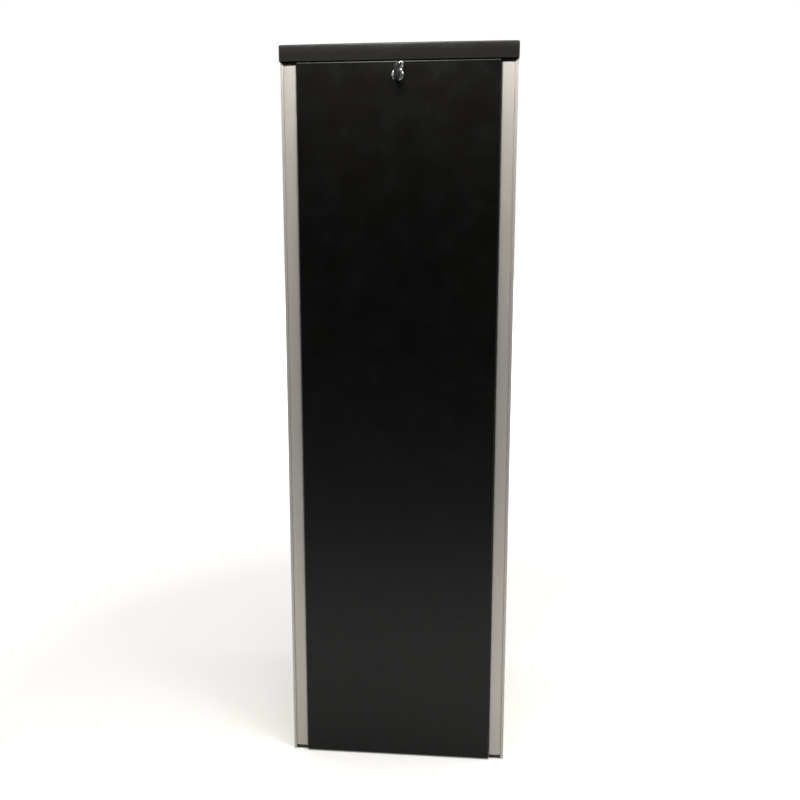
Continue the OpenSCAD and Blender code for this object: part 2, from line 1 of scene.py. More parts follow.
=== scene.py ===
"""Visual model of a free-standing parcel locker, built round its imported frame.

The locker is a tall cabinet with silver corner posts, a black bottom-hung door
with a cam lock at its top edge, a black lifting lid and a one-way trap inside.
Lengths are in metres, +Z is up and the door faces -Y.
"""

import json
import logging
import math
from dataclasses import dataclass, field
from enum import Enum

import bmesh
import bpy
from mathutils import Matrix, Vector


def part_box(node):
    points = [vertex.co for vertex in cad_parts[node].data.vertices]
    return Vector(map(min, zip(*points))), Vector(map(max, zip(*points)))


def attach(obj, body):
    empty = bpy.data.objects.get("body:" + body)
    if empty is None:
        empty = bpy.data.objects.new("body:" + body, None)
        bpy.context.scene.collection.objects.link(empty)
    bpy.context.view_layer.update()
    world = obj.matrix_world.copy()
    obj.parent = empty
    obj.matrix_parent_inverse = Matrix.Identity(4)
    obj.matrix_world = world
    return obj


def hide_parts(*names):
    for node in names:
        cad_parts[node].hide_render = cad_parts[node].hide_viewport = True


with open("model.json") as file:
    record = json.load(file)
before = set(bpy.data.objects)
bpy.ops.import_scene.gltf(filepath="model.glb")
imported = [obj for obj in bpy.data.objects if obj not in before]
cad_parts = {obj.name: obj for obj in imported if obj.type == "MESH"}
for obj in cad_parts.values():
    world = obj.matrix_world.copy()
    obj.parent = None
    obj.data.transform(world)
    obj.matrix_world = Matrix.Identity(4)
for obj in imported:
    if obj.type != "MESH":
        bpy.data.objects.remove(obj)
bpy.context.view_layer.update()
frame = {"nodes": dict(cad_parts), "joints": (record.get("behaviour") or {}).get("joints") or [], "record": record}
MM = 0.001
Colour = tuple[float, float, float]
Point = tuple[float, float]

logging.basicConfig(level=logging.INFO, format="%(message)s")
log = logging.getLogger("parcel_locker")


class Axis(Enum):
    """Direction along which an outline is drawn out."""

    X = 0
    Y = 1
    Z = 2


class Side(Enum):
    """Left or right of the cabinet, seen from the front."""

    LEFT = -1
    RIGHT = 1


class End(Enum):
    """Front or rear of the cabinet."""

    FRONT = -1
    REAR = 1


# ---- Mesh tools ----


class Shape:
    """Builds mesh objects from outlines, rings and profiles."""

    @staticmethod
    def publish(name: str, bm: bmesh.types.BMesh, smooth_deg: float = 32.0) -> bpy.types.Object:
        """Turns a finished mesh into a scene object with smooth shading.

        Args:
            name: Name of the piece.
            bm: The mesh, which is freed.
            smooth_deg: Edges sharper than this stay crisp.

        Returns:
            The new object, linked to the scene.
        """
        bmesh.ops.recalc_face_normals(bm, faces=bm.faces)
        limit = math.radians(smooth_deg)
        for edge in bm.edges:
            edge.smooth = len(edge.link_faces) == 2 and edge.calc_face_angle(0.0) < limit
        for face in bm.faces:
            face.smooth = True
        mesh = bpy.data.meshes.new(name)
        bm.to_mesh(mesh)
        bm.free()
        obj = bpy.data.objects.new(name, mesh)
        bpy.context.scene.collection.objects.link(obj)
        return obj

    @staticmethod
    def loft(bm: bmesh.types.BMesh, rings: list[list[Vector]], caps: bool = True, wrap: bool = False) -> None:
        """Skins a row of closed rings that have the same number of points.

        Args:
            bm: Mesh that receives the faces.
            rings: The rings in order.
            caps: Whether the first and last ring are closed with a face.
            wrap: Whether the last ring joins the first one.
        """
        made = [[bm.verts.new(p) for p in ring] for ring in rings]
        pairs = list(zip(made, made[1:]))
        if wrap:
            pairs.append((made[-1], made[0]))
        for low, high in pairs:
            count = len(low)
            for i in range(count):
                j = (i + 1) % count
                bm.faces.new((low[i], low[j], high[j], high[i]))
        if caps and not wrap:
            bm.faces.new(list(reversed(made[0])))
            bm.faces.new(made[-1])

    @staticmethod
    def fillet(points: list[Point], radius: float | list[float], steps: int = 4) -> list[Point]:
        """Rounds the corners of a closed outline.

        Args:
            points: Corners in order.
            radius: One radius, or one for each corner.
            steps: Segments in each rounded corner.

        Returns:
            The outline with arcs in place of its corners.
        """
        count = len(points)
        radii = radius if isinstance(radius, list) else [radius] * count
        out: list[Point] = []
        for i, corner in enumerate(points):
            before = Vector(points[i - 1]) - Vector(corner)
            after = Vector(points[(i + 1) % count]) - Vector(corner)
            turn = before.angle(after)
            r = radii[i]
            if r <= 0 or abs(turn - math.pi) < 0.02:
                out.append(corner)
                continue
            back = min(r / math.tan(turn / 2), 0.49 * before.length, 0.49 * after.length)
            start = Vector(corner) + before.normalized() * back
            stop = Vector(corner) + after.normalized() * back
            for k in range(steps + 1):
                t = k / steps
                blend = (1 - t) ** 2 * start + 2 * t * (1 - t) * Vector(corner) + t * t * stop
                out.append((blend.x, blend.y))
        return out

    @staticmethod
    def place(u: float, v: float, w: float, axis: Axis) -> Vector:
        """Puts an outline point (u, v) at height w along an axis."""
        return {Axis.X: Vector((w, u, v)), Axis.Y: Vector((u, w, v)), Axis.Z: Vector((u, v, w))}[axis]

    @classmethod
    def drawn(
        cls, bm: bmesh.types.BMesh, outline: list[Point], axis: Axis, stations: list[float],
        holes: list[list[Point]] | None = None,
    ) -> None:
        """Draws an outline, with any holes, along an axis.

        Args:
            bm: Mesh that receives the faces.
            outline: Closed outline.
            axis: Direction of the draw.
            stations: Heights of the rings along the axis.
            holes: Closed outlines cut through the piece.
        """
        ends: list[list[bmesh.types.BMEdge]] = [[], []]
        for ring in [outline] + (holes or []):
            made = [[bm.verts.new(cls.place(u, v, w, axis)) for u, v in ring] for w in stations]
            for low, high in zip(made, made[1:]):
                for i in range(len(ring)):
                    j = (i + 1) % len(ring)
                    bm.faces.new((low[i], low[j], high[j], high[i]))
            for end, row in zip(ends, (made[0], made[-1])):
                end.extend(bm.edges.get((row[i], row[(i + 1) % len(row)])) for i in range(len(row)))
        for end in ends:
            bmesh.ops.triangle_fill(bm, edges=end, use_beauty=True)

    @staticmethod
    def turned(
        bm: bmesh.types.BMesh, profile: list[Point], origin: Vector, direction: Vector, segments: int = 48,
    ) -> None:
        """Turns a profile of (radius, height) pairs about a direction.

        Args:
            bm: Mesh that receives the faces.
            profile: Radius and height pairs; a radius of 0 makes a pole.
            origin: Foot of the axis.
            direction: Direction of the axis.
            segments: Segments round the axis.
        """
        up = direction.normalized()
        side = up.orthogonal().normalized()
        other = up.cross(side)
        rows: list[list[bmesh.types.BMVert]] = []
        for radius, height in profile:
            centre = origin + up * height
            if radius <= 1e-9:
                rows.append([bm.verts.new(centre)])
                continue
            angles = [2 * math.pi * k / segments for k in range(segments)]
            rows.append([
                bm.verts.new(centre + (side * math.cos(a) + other * math.sin(a)) * radius) for a in angles
            ])
        for low, high in zip(rows, rows[1:]):
            for i in range(segments):
                j = (i + 1) % segments
                quad = (low[i % len(low)], low[j % len(low)], high[j % len(high)], high[i % len(high)])
                bm.faces.new(tuple(dict.fromkeys(quad)))

    @staticmethod
    def tube(bm: bmesh.types.BMesh, path: list[Vector], radius: float, sides: int = 12) -> None:
        """Sweeps a round wire along a path, with rounded-off ends.

        Args:
            bm: Mesh that receives the faces.
            path: Points along the wire's middle.
            radius: Radius of the wire.
            sides: Sides of the wire's section.
        """
        rings: list[list[Vector]] = []
        normal = (path[1] - path[0]).orthogonal().normalized()
        for i, p in enumerate(path):
            ahead = path[min(i + 1, len(path) - 1)] - path[max(i - 1, 0)]
            ahead.normalize()
            normal = (normal - ahead * normal.dot(ahead)).normalized()
            other = ahead.cross(normal)
            angles = [2 * math.pi * k / sides for k in range(sides)]
            rings.append([p + (normal * math.cos(a) + other * math.sin(a)) * radius for a in angles])
        Shape.loft(bm, rings)

    @staticmethod
    def islands(node: str) -> list[tuple[Vector, Vector]]:
        """Finds the separate solids of a CAD node.

        Args:
            node: Name of the CAD node.

        Returns:
            Lowest and highest corner of each solid, in the frame.
        """
        bm = bmesh.new()
        bm.from_mesh(frame["nodes"][node].data)
        bmesh.ops.remove_doubles(bm, verts=bm.verts, dist=1e-6)
        left = set(bm.verts)
        found: list[tuple[Vector, Vector]] = []
        while left:
            stack = [left.pop()]
            seen = list(stack)
            while stack:
                for edge in stack.pop().link_edges:
                    for vert in edge.verts:
                        if vert in left:
                            left.remove(vert)
                            stack.append(vert)
                            seen.append(vert)
            low = Vector([min(v.co[k] for v in seen) for k in range(3)])
            high = Vector([max(v.co[k] for v in seen) for k in range(3)])
            found.append((low, high))
        bm.free()
        found.sort(key=lambda box: tuple(round(c, 4) for c in (box[0] + box[1]) / 2))
        return found


# ---- Finishes ----


class Graph:
    """Short way to write a node material."""

    def __init__(self, name: str) -> None:
        """Starts a material with a Principled shader and object coordinates.

        Args:
            name: Name of the material.
        """
        self.material = bpy.data.materials.new(name)
        self.material.use_nodes = True
        self.tree = self.material.node_tree
        self.shader = self.tree.nodes["Principled BSDF"]
        self.coords = self.tree.nodes.new("ShaderNodeTexCoord").outputs["Object"]

    def node(self, kind: str, **values: object) -> bpy.types.Node:
        """Adds a node and sets its properties or unlinked inputs by name.

        Args:
            kind: Node type without the ShaderNode prefix.
            values: Property values; names with a leading capital are inputs.

        Returns:
            The new node.
        """
        made = self.tree.nodes.new("ShaderNode" + kind)
        for key, value in values.items():
            if key[0].isupper():
                made.inputs[key.replace("_", " ")].default_value = value
            else:
                setattr(made, key, value)
        return made

    def link(self, source: bpy.types.NodeSocket, target: bpy.types.NodeSocket) -> None:
        """Joins an output to an input."""
        self.tree.links.new(source, target)

    def feed(self, source: bpy.types.NodeSocket, socket: str) -> None:
        """Joins an output to one of the shader's sockets."""
        self.link(source, self.shader.inputs[socket])

    def set(self, **values: object) -> None:
        """Sets constants on the shader's own sockets."""
        for key, value in values.items():
            self.shader.inputs[key.replace("_", " ")].default_value = value

    def noise(self, scale: float, stretch: tuple[float, float, float] = (1, 1, 1), detail: float = 3.0,
              rough: float = 0.55) -> bpy.types.NodeSocket:
        """Adds a noise pattern in the frame's metres.

        Args:
            scale: Repeats in each metre.
            stretch: Scale of the coordinates along X, Y and Z.
            detail: Octaves.
            rough: Weight of the finer octaves.

        Returns:
            The pattern's value.
        """
        mapping = self.node("Mapping")
        mapping.inputs["Scale"].default_value = stretch
        self.link(self.coords, mapping.inputs["Vector"])
        made = self.node("TexNoise", Scale=scale, Detail=detail, Roughness=rough)
        self.link(mapping.outputs["Vector"], made.inputs["Vector"])
        return made.outputs["Fac"]

    def cells(self, scale: float) -> bpy.types.NodeSocket:
        """Adds a crystal-like cell pattern.

        Args:
            scale: Cells in each metre.

        Returns:
            A random shade for each cell.
        """
        made = self.node("TexVoronoi", Scale=scale)
        self.link(self.coords, made.inputs["Vector"])
        split = self.node("SeparateColor")
        self.link(made.outputs["Color"], split.inputs["Color"])
        return split.outputs["Red"]

    def span(self, source: bpy.types.NodeSocket, low: float, high: float, to_low: float,
             to_high: float) -> bpy.types.NodeSocket:
        """Maps a value from one range to another and clamps it.

        Args:
            source: Value to map.
            low: Start of its range.
            high: End of its range.
            to_low: Result at the start.
            to_high: Result at the end.

        Returns:
            The mapped value.
        """
        made = self.node("MapRange", From_Min=low, From_Max=high, To_Min=to_low, To_Max=to_high)
        self.link(source, made.inputs["Value"])
        return made.outputs["Result"]

    def times(self, a: bpy.types.NodeSocket, b: bpy.types.NodeSocket) -> bpy.types.NodeSocket:
        """Multiplies two values and returns the product."""
        made = self.node("Math", operation="MULTIPLY")
        self.link(a, made.inputs[0])
        self.link(b, made.inputs[1])
        return made.outputs[0]

    def blend(self, amount: bpy.types.NodeSocket, a: Colour, b: Colour) -> bpy.types.NodeSocket:
        """Mixes two colours by an amount.

        Args:
            amount: 0 gives the first colour and 1 the second.
            a: First colour.
            b: Second colour.

        Returns:
            The mixed colour.
        """
        made = self.node("Mix", data_type="RGBA")
        made.inputs[6].default_value = (*a, 1)
        made.inputs[7].default_value = (*b, 1)
        self.link(amount, made.inputs[0])
        return made.outputs[2]

    def over(self, amount: bpy.types.NodeSocket, under: bpy.types.NodeSocket,
             top: Colour) -> bpy.types.NodeSocket:
        """Lays a colour over another one.

        Args:
            amount: Share of the upper colour, from 0 to 1.
            under: The lower colour.
            top: The upper colour.

        Returns:
            The mixed colour.
        """
        made = self.node("Mix", data_type="RGBA")
        self.link(amount, made.inputs[0])
        self.link(under, made.inputs[6])
        made.inputs[7].default_value = (*top, 1)
        return made.outputs[2]

    def edges(self, radius: float) -> bpy.types.NodeSocket:
        """Finds the edges of a piece, where its finish wears first.

        Args:
            radius: Width of the worn strip.

        Returns:
            1 on an edge and 0 away from it.
        """
        rounded = self.node("Bevel", samples=4, Radius=radius)
        plain = self.node("NewGeometry")
        dot = self.node("VectorMath", operation="DOT_PRODUCT")
        self.link(rounded.outputs["Normal"], dot.inputs[0])
        self.link(plain.outputs["Normal"], dot.inputs[1])
        return self.span(dot.outputs["Value"], 0.86, 0.99, 1.0, 0.0)

    def bump(self, height: bpy.types.NodeSocket, strength: float, distance: float,
             under: bpy.types.NodeSocket | None = None) -> bpy.types.NodeSocket:
        """Turns a height pattern into a bump.

        Args:
            height: The pattern.
            strength: Share of the bump that is used.
            distance: Height of the pattern in metres.
            under: Normal of a bump below this one.

        Returns:
            The bumped normal.
        """
        made = self.node("Bump", Strength=strength, Distance=distance)
        self.link(height, made.inputs["Height"])
        if under is not None:
            self.link(under, made.inputs["Normal"])
        return made.outputs["Normal"]


@dataclass(frozen=True)
class PowderCoat:
    """Satin black powder coat: fine orange peel, faint dust and rubbed edges."""

    name: str = "satin_black_coat"
    colour: Colour = (0.0008, 0.0007, 0.0006)
    patch: Colour = (0.0017, 0.0015, 0.0012)
    worn: Colour = (0.030, 0.029, 0.027)
    roughness: float = 0.25
    peel: float = 620.0
    gloss: float = 0.31

    def build(self) -> bpy.types.Material:
        """Builds the node material and returns it."""
        g = Graph(self.name)
        cloud = g.noise(3.2, detail=4)
        dust = g.span(g.noise(46, detail=6, rough=0.7), 0.52, 0.78, 0.0, 1.0)
        base = g.blend(g.span(cloud, 0.35, 0.7, 0.0, 1.0), self.colour, self.patch)
        rub = g.times(g.edges(0.9 * MM), g.span(g.noise(120, detail=5), 0.45, 0.7, 0.0, 0.75))
        g.feed(g.over(rub, g.over(g.span(dust, 0, 1, 0, 0.04), base, (0.012, 0.011, 0.0095)), self.worn),
               "Base Color")
        g.feed(g.span(g.noise(21, detail=5), 0.3, 0.7, self.roughness - 0.03, self.roughness + 0.05),
               "Roughness")
        peel = g.bump(g.noise(self.peel, detail=2), 0.16, 0.00012)
        g.feed(g.bump(g.noise(5.0, detail=1), 0.14, 0.0006, peel), "Normal")
        g.set(Specular_IOR_Level=self.gloss)
        return g.material


@dataclass(frozen=True)
class Anodised:
    """Satin anodised aluminium with fine draw lines along the extrusion, and painted shade that darkens its
    hollows.
    """

    name: str = "satin_silver_aluminium"
    colour: Colour = (0.52, 0.495, 0.455)
    shade: Colour = (0.45, 0.43, 0.395)
    roughness: float = 0.40
    metal: float = 0.75
    draw: tuple[float, float, float] = (1.0, 1.0, 0.004)
    nook_reach: float = 0.004
    # Tone of the painted shade laid into hollows and creases.
    painted_nook_shade: Colour = (0.20, 0.19, 0.175)

    def build(self) -> bpy.types.Material:
        """Builds the node material and returns it."""
        g = Graph(self.name)
        lines = g.noise(2600, stretch=self.draw, detail=2, rough=0.6)
        mottle = g.noise(9, detail=5)
        base = g.blend(g.span(mottle, 0.3, 0.7, 0.3, 0.6), self.colour, self.shade)
        rub = g.times(g.edges(0.5 * MM), g.span(g.noise(90, detail=4), 0.4, 0.7, 0.0, 0.6))
        # Painted shade: ambient occlusion pulls the colour towards a dark tone in hollows and creases, such as the
        # cove beside the side panel's strip.
        nook = g.node("AmbientOcclusion", Distance=self.nook_reach)
        worn = g.over(rub, base, (0.66, 0.64, 0.6))
        painted_shade_share = g.span(nook.outputs["AO"], 0.35, 0.95, 0.55, 0.0)
        g.feed(g.over(painted_shade_share, worn, self.painted_nook_shade), "Base Color")
        g.feed(g.span(lines, 0.3, 0.7, self.roughness - 0.05, self.roughness + 0.07), "Roughness")
        g.feed(g.bump(lines, 0.22, 0.00005), "Normal")
        g.set(Metallic=self.metal, Specular_IOR_Level=0.5)
        return g.material


@dataclass(frozen=True)
class ZincSheet:
    """Zinc-coated sheet steel with a soft spangle."""

    name: str = "zinc_coated_steel"
    colour: Colour = (0.42, 0.43, 0.43)
    shade: Colour = (0.30, 0.31, 0.315)
    roughness: float = 0.42

    def build(self) -> bpy.types.Material:
        """Builds the node material and returns it."""
        g = Graph(self.name)
        spangle = g.cells(110)
        g.feed(g.blend(spangle, self.colour, self.shade), "Base Color")
        g.feed(g.span(spangle, 0, 1, self.roughness - 0.08, self.roughness + 0.1), "Roughness")
        g.feed(g.bump(g.noise(420, detail=4), 0.15, 0.0001), "Normal")
        g.set(Metallic=0.9)
        return g.material


@dataclass(frozen=True)
class BrightSteel:
    """Bright plated steel of pins, screws and small pressings."""

    name: str = "bright_plated_steel"
    colour: Colour = (0.55, 0.55, 0.54)
    shade: Colour = (0.40, 0.40, 0.39)
    roughness: float = 0.26

    def build(self) -> bpy.types.Material:
        """Builds the node material and returns it."""
        g = Graph(self.name)
        smear = g.noise(150, detail=5)
        g.feed(g.blend(g.span(smear, 0.35, 0.7, 0, 1), self.colour, self.shade), "Base Color")
        g.feed(g.span(smear, 0.3, 0.75, self.roughness - 0.06, self.roughness + 0.14), "Roughness")
        g.feed(g.bump(g.noise(1500, detail=2), 0.1, 0.00003), "Normal")
        g.set(Metallic=1.0)
        return g.material


@dataclass(frozen=True)
class ChromePlate:
    """Polished chrome plate with faint wipe marks."""

    name: str = "polished_chrome"
    colour: Colour = (0.76, 0.765, 0.76)
    shade: Colour = (0.66, 0.665, 0.66)
    roughness: float = 0.07

    def build(self) -> bpy.types.Material:
        """Builds the node material and returns it."""
        g = Graph(self.name)
        wipe = g.noise(500, detail=4)
        g.feed(g.blend(g.span(wipe, 0.35, 0.7, 0, 1), self.colour, self.shade), "Base Color")
        g.feed(g.span(wipe, 0.35, 0.75, self.roughness - 0.02, self.roughness + 0.09), "Roughness")
        g.feed(g.bump(wipe, 0.05, 0.00002), "Normal")
        g.set(Metallic=1.0)
        return g.material


@dataclass(frozen=True)
class SoftRubber:
    """Matt black rubber with a bloom of dust."""

    name: str = "matt_black_rubber"
    colour: Colour = (0.012, 0.012, 0.012)
    bloom: Colour = (0.035, 0.034, 0.032)

    def build(self) -> bpy.types.Material:
        """Builds the node material and returns it."""
        g = Graph(self.name)
        patches = g.noise(70, detail=6, rough=0.65)
        g.feed(g.blend(g.span(patches, 0.45, 0.8, 0, 1), self.colour, self.bloom), "Base Color")
        g.feed(g.span(patches, 0.3, 0.7, 0.62, 0.82), "Roughness")
        g.feed(g.bump(g.noise(1800, detail=3), 0.3, 0.00006), "Normal")
        return g.material


@dataclass(frozen=True)
class MouldedPlastic:
    """Moulded plastic with a fine spark-eroded grain."""

    name: str
    colour: Colour
    shade: Colour
    roughness: float
    gloss: float = 0.5

    def build(self) -> bpy.types.Material:
        """Builds the node material and returns it."""
        g = Graph(self.name)
        g.set(Specular_IOR_Level=self.gloss)
        tone = g.noise(160, detail=4)
        g.feed(g.blend(g.span(tone, 0.35, 0.7, 0, 1), self.colour, self.shade), "Base Color")
        g.feed(g.span(tone, 0.3, 0.7, self.roughness - 0.05, self.roughness + 0.06), "Roughness")
        g.feed(g.bump(g.noise(2600, detail=2), 0.25, 0.00004), "Normal")
        return g.material


class Finishes:
    """Keeps one material for each slot of the record."""

    def __init__(self) -> None:
        """Builds every finish of the locker."""
        recipes = {
            "black_coat": PowderCoat(),
            "silver_aluminium": Anodised(),
            "zinc_steel": ZincSheet(),
            "bright_steel": BrightSteel(),
            "chrome": ChromePlate(),
            "rubber": SoftRubber(),
            "black_plastic": MouldedPlastic(
                "grained_black_plastic", (0.010, 0.010, 0.010), (0.016, 0.016, 0.015), 0.55),
            "bow_plastic": MouldedPlastic(
                "key_grip_plastic", (0.004, 0.005, 0.0043), (0.007, 0.0085, 0.0072), 0.4, gloss=0.15),
        }
        # Painted light: the lid takes a lighter copy of the black coat, so its skirt shows the brighter light it
        # catches beside the door.
        lid_painted_light_coat = PowderCoat("lid_black_coat", (0.0105, 0.0101, 0.0091), (0.0125, 0.0119, 0.0106))
        self.special = {"lid_skin": lid_painted_light_coat.build()}
        self.made = {slot: recipe.build() for slot, recipe in recipes.items()}
        self.slot_of = {row["node"]: row["material_slot"] for row in frame["record"]["subparts"]}

    def dress(self, obj: bpy.types.Object, node: str) -> None:
        """Gives a piece the finish of a CAD node.

        Args:
            obj: The piece.
            node: CAD node whose finish it takes.
        """
        slot = self.slot_of[node]
        obj.data.materials.clear()
        obj.data.materials.append(self.special.get(node, self.made[slot]))
        for face in obj.data.polygons:
            face.material_index = 0


@dataclass
class Bench:
    """Finishes, rides and reports each piece."""

    finishes: Finishes
    body_of: dict[str, str] = field(default_factory=dict)

    def __post_init__(self) -> None:
        """Notes which body each CAD node rides on."""
        bodies = frame["record"]["behaviour"]["bodies"]
        self.body_of = {node: body for body, nodes in bodies.items() for node in nodes}

    def replace(self, obj: bpy.types.Object, *nodes: str) -> bpy.types.Object:
        """Puts a detailed piece in place of one or more CAD nodes.

        Args:
            obj: The piece.
            nodes: CAD nodes that it stands for.

        Returns:
            The piece.
        """
        self.finishes.dress(obj, nodes[0])
        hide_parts(*nodes)
        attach(obj, self.body_of[nodes[0]])
        log.info("piece %s stands for %s", obj.name, ", ".join(nodes))
        return obj

    def keep(self, node: str, bevel: float, segments: int = 2) -> None:
        """Keeps a CAD node, with softened edges and its finish.

        Args:
            node: Name of the CAD node.
            bevel: Width of the softened edges; 0 leaves them.
            segments: Segments of each softened edge.
        """
        obj = frame["nodes"][node]
        self.finishes.dress(obj, node)
        if bevel > 0:
            weld = obj.modifiers.new("weld", "WELD")
            weld.merge_threshold = 2e-6
            plane = obj.modifiers.new("plane_faces", "DECIMATE")
            plane.decimate_type = "DISSOLVE"
            plane.angle_limit = math.radians(0.4)
            soft = obj.modifiers.new("soft_edges", "BEVEL")
            soft.width = bevel
            soft.segments = segments
            soft.limit_method = "ANGLE"
            soft.angle_limit = math.radians(40)
            soft.use_clamp_overlap = True
            soft.harden_normals = True
        log.info("piece %s kept from the frame", node)


# ---- Cabinet ----


@dataclass
class CornerPosts:
    """Four hollow posts whose face sinks towards the side panel's strip, with a fine line in it."""

    bench: Bench
    wall: float = 1.8 * MM
    cove: float = 1.3 * MM
    flat_share: float = 0.5
    margin: float = 2.2 * MM
    line: float = 0.6 * MM
    line_at: float = 1.0 * MM
    line_depth: float = 0.35 * MM
    corner: float = 0.7 * MM

    def outline(self, low: Vector, high: Vector, side: Side, end: End) -> tuple[list[Point], list[Point]]:
        """Draws the section of one post.

        Args:
            low: Lowest corner of the post.
            high: Highest corner of the post.
            side: Left or right.
            end: Front or rear.

        Returns:
            The outer outline and the bore's outline.
        """
        width, depth = high.x - low.x, high.y - low.y
        arc_w = width - self.margin
        steps = 24
        cove = [(self.margin + arc_w * k / steps, self.hollow(k / steps)) for k in range(steps + 1)]
        near, far = self.line_at, self.line_at + self.line
        face = [(near, 0.0), (near, self.line_depth), (far, self.line_depth), (far, 0.0)]
        outer = self.round_corners(depth, width, face + cove)
        inset = self.wall
        bore = Shape.fillet(
            [(inset, inset + self.cove), (width - inset, inset + self.cove), (width - inset, depth - inset),
             (inset, depth - inset)], 1.0 * MM, 3)
        return self.turn(outer, low, high, side, end), self.turn(bore, low, high, side, end)

    def hollow(self, share: float) -> float:
        """Gives the cove's depth at a share of its width, counted from the door, and returns it."""
        return self.cove * (max(0.0, share - self.flat_share) / (1 - self.flat_share)) ** 2

    def round_corners(self, depth: float, width: float, face: list[Point]) -> list[Point]:
        """Joins the face to the three plain sides with small radii and returns the outline."""
        corners = [(0.0, depth), (0.0, 0.0), *face, (width, depth)]
        radii = [self.corner, self.corner] + [0.0] * len(face) + [self.corner]
        return Shape.fillet(corners, radii, 3)

    @staticmethod
    def turn(points: list[Point], low: Vector, high: Vector, side: Side, end: End) -> list[Point]:
        """Puts a section, drawn from the door's side of the face, at its corner and returns it."""
        x0 = low.x if side is Side.RIGHT else high.x
        y0 = low.y if end is End.FRONT else high.y
        return [(x0 + side.value * u, y0 - end.value * v) for u, v in points]

    def build(self) -> None:
        """Builds the four posts."""
        for end in End:
            for side in Side:
                node = f"{end.name.lower()}_post_{side.name.lower()}"
                low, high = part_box(node)
                outer, bore = self.outline(Vector(low), Vector(high), side, end)
                bm = bmesh.new()
                Shape.drawn(bm, outer, Axis.Z, [low[2], high[2]], [bore])
                self.bench.replace(Shape.publish(f"{node}_extrusion", bm), node)


@dataclass
class SidePanels:
    """Two side panels whose front and rear edges are folded into a strip."""

    bench: Bench
    sheet: float = 1.5 * MM
    fold: float = 1.5 * MM
    hem_depth: float = 14 * MM
    top_slant: float = 2.4 * MM
    step: float = 0.08

    def section(self, low: Vector, high: Vector) -> list[Point]:
        """Draws the folded sheet's section for the right side.

        Args:
            low: Lowest corner of the right panel.
            high: Highest corner of the right panel.

        Returns:
            The section's outline.
        """
        x0, x1, y0, y1 = low.x, high.x, low.y, high.y
        t, d = self.sheet, self.hem_depth
        points = [
            (x0, y0), (x1, y0), (x1, y1), (x0, y1), (x0, y1 - d), (x0 + t, y1 - d), (x0 + t, y1 - t),
            (x1 - t, y1 - t), (x1 - t, y0 + t), (x0 + t, y0 + t), (x0 + t, y0 + d), (x0, y0 + d),
        ]
        outside, inside, rim = self.fold, 0.4 * MM, 0.5 * MM
        lip = outside * 0.6
        radii = [lip, outside, outside, lip, rim, rim, *[inside] * 4, rim, rim]
        return Shape.fillet(points, radii, 4)

    def build(self) -> None:
        """Builds both panels, with the strip's top corner slanted under the lid."""
        for side in Side:
            node = f"side_panel_{side.name.lower()}"
            low, high = (Vector(c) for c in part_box(node))
            right = [low.x, high.x] if side is Side.RIGHT else [-high.x, -low.x]
            section = self.section(Vector((right[0], low.y, low.z)), Vector((right[1], high.y, high.z)))
            count = math.ceil((high.z - low.z) / self.step)
            stations = [low.z + (high.z - low.z) * k / count for k in range(count + 1)]
            bm = bmesh.new()
            Shape.drawn(bm, section, Axis.Z, stations)
            for vert in bm.verts:
                if vert.co.z > high.z - MM and vert.co.x < right[0] + self.sheet + 0.1 * MM:
                    vert.co.z -= self.top_slant
                vert.co.x *= side.value
            self.bench.replace(Shape.publish(f"{node}_folded", bm), node)


@dataclass
class EndCaps:
    """Moulded caps that close the posts at the top and the floor."""

    bench: Bench
    edge: float = 0.6 * MM
    upright: float = 1.2 * MM
    top_plate: float = 4.2 * MM
    foot_plate: float = 7.8 * MM
    side_gap: float = 2.0 * MM
    end_gap: float = 1.0 * MM

    def build(self) -> None:
        """Builds the caps of both ends, each with its plug in the tube."""
        for node, upward in (("post_top_caps", True), ("post_bottom_caps", False)):
            bm = bmesh.new()
            for low, high in Shape.islands(node):
                plate = self.top_plate if upward else self.foot_plate
                split = high.z - plate if upward else low.z + plate
                outside, inside = (split, high.z), (low.z, split)
                if not upward:
                    outside, inside = inside, outside
                self.slab(bm, low, high, outside)
                gap = Vector((self.side_gap, self.end_gap, 0.0))
                self.slab(bm, low + gap, high - gap, inside)
            self.bench.replace(Shape.publish(f"{node}_moulded", bm), node)

    def slab(self, bm: bmesh.types.BMesh, low: Vector, high: Vector, heights: Point) -> None:
        """Adds one block with rounded upright edges and softened rims.

        Args:
            bm: Mesh that receives the block.
            low: Corner with the block's lowest X and Y.
            high: Corner with the block's highest X and Y.
            heights: Lower and upper height of the block.
        """
        e = self.edge
        z0, z1 = heights
        rounding = ((0.0, e), (e * 0.4, e * 0.3), (e, 0.0))
        levels = [(z0 + rise, pull) for rise, pull in rounding]
        levels += [(z1 - rise, pull) for rise, pull in reversed(rounding)]
        rings = []
        for z, pull in levels:
            x0, x1, y0, y1 = low.x + pull, high.x - pull, low.y + pull, high.y - pull
            corners = [(x0, y0), (x1, y0), (x1, y1), (x0, y1)]
            rings.append([Vector((u, v, z)) for u, v in Shape.fillet(corners, self.upright, 4)])
        Shape.loft(bm, rings)


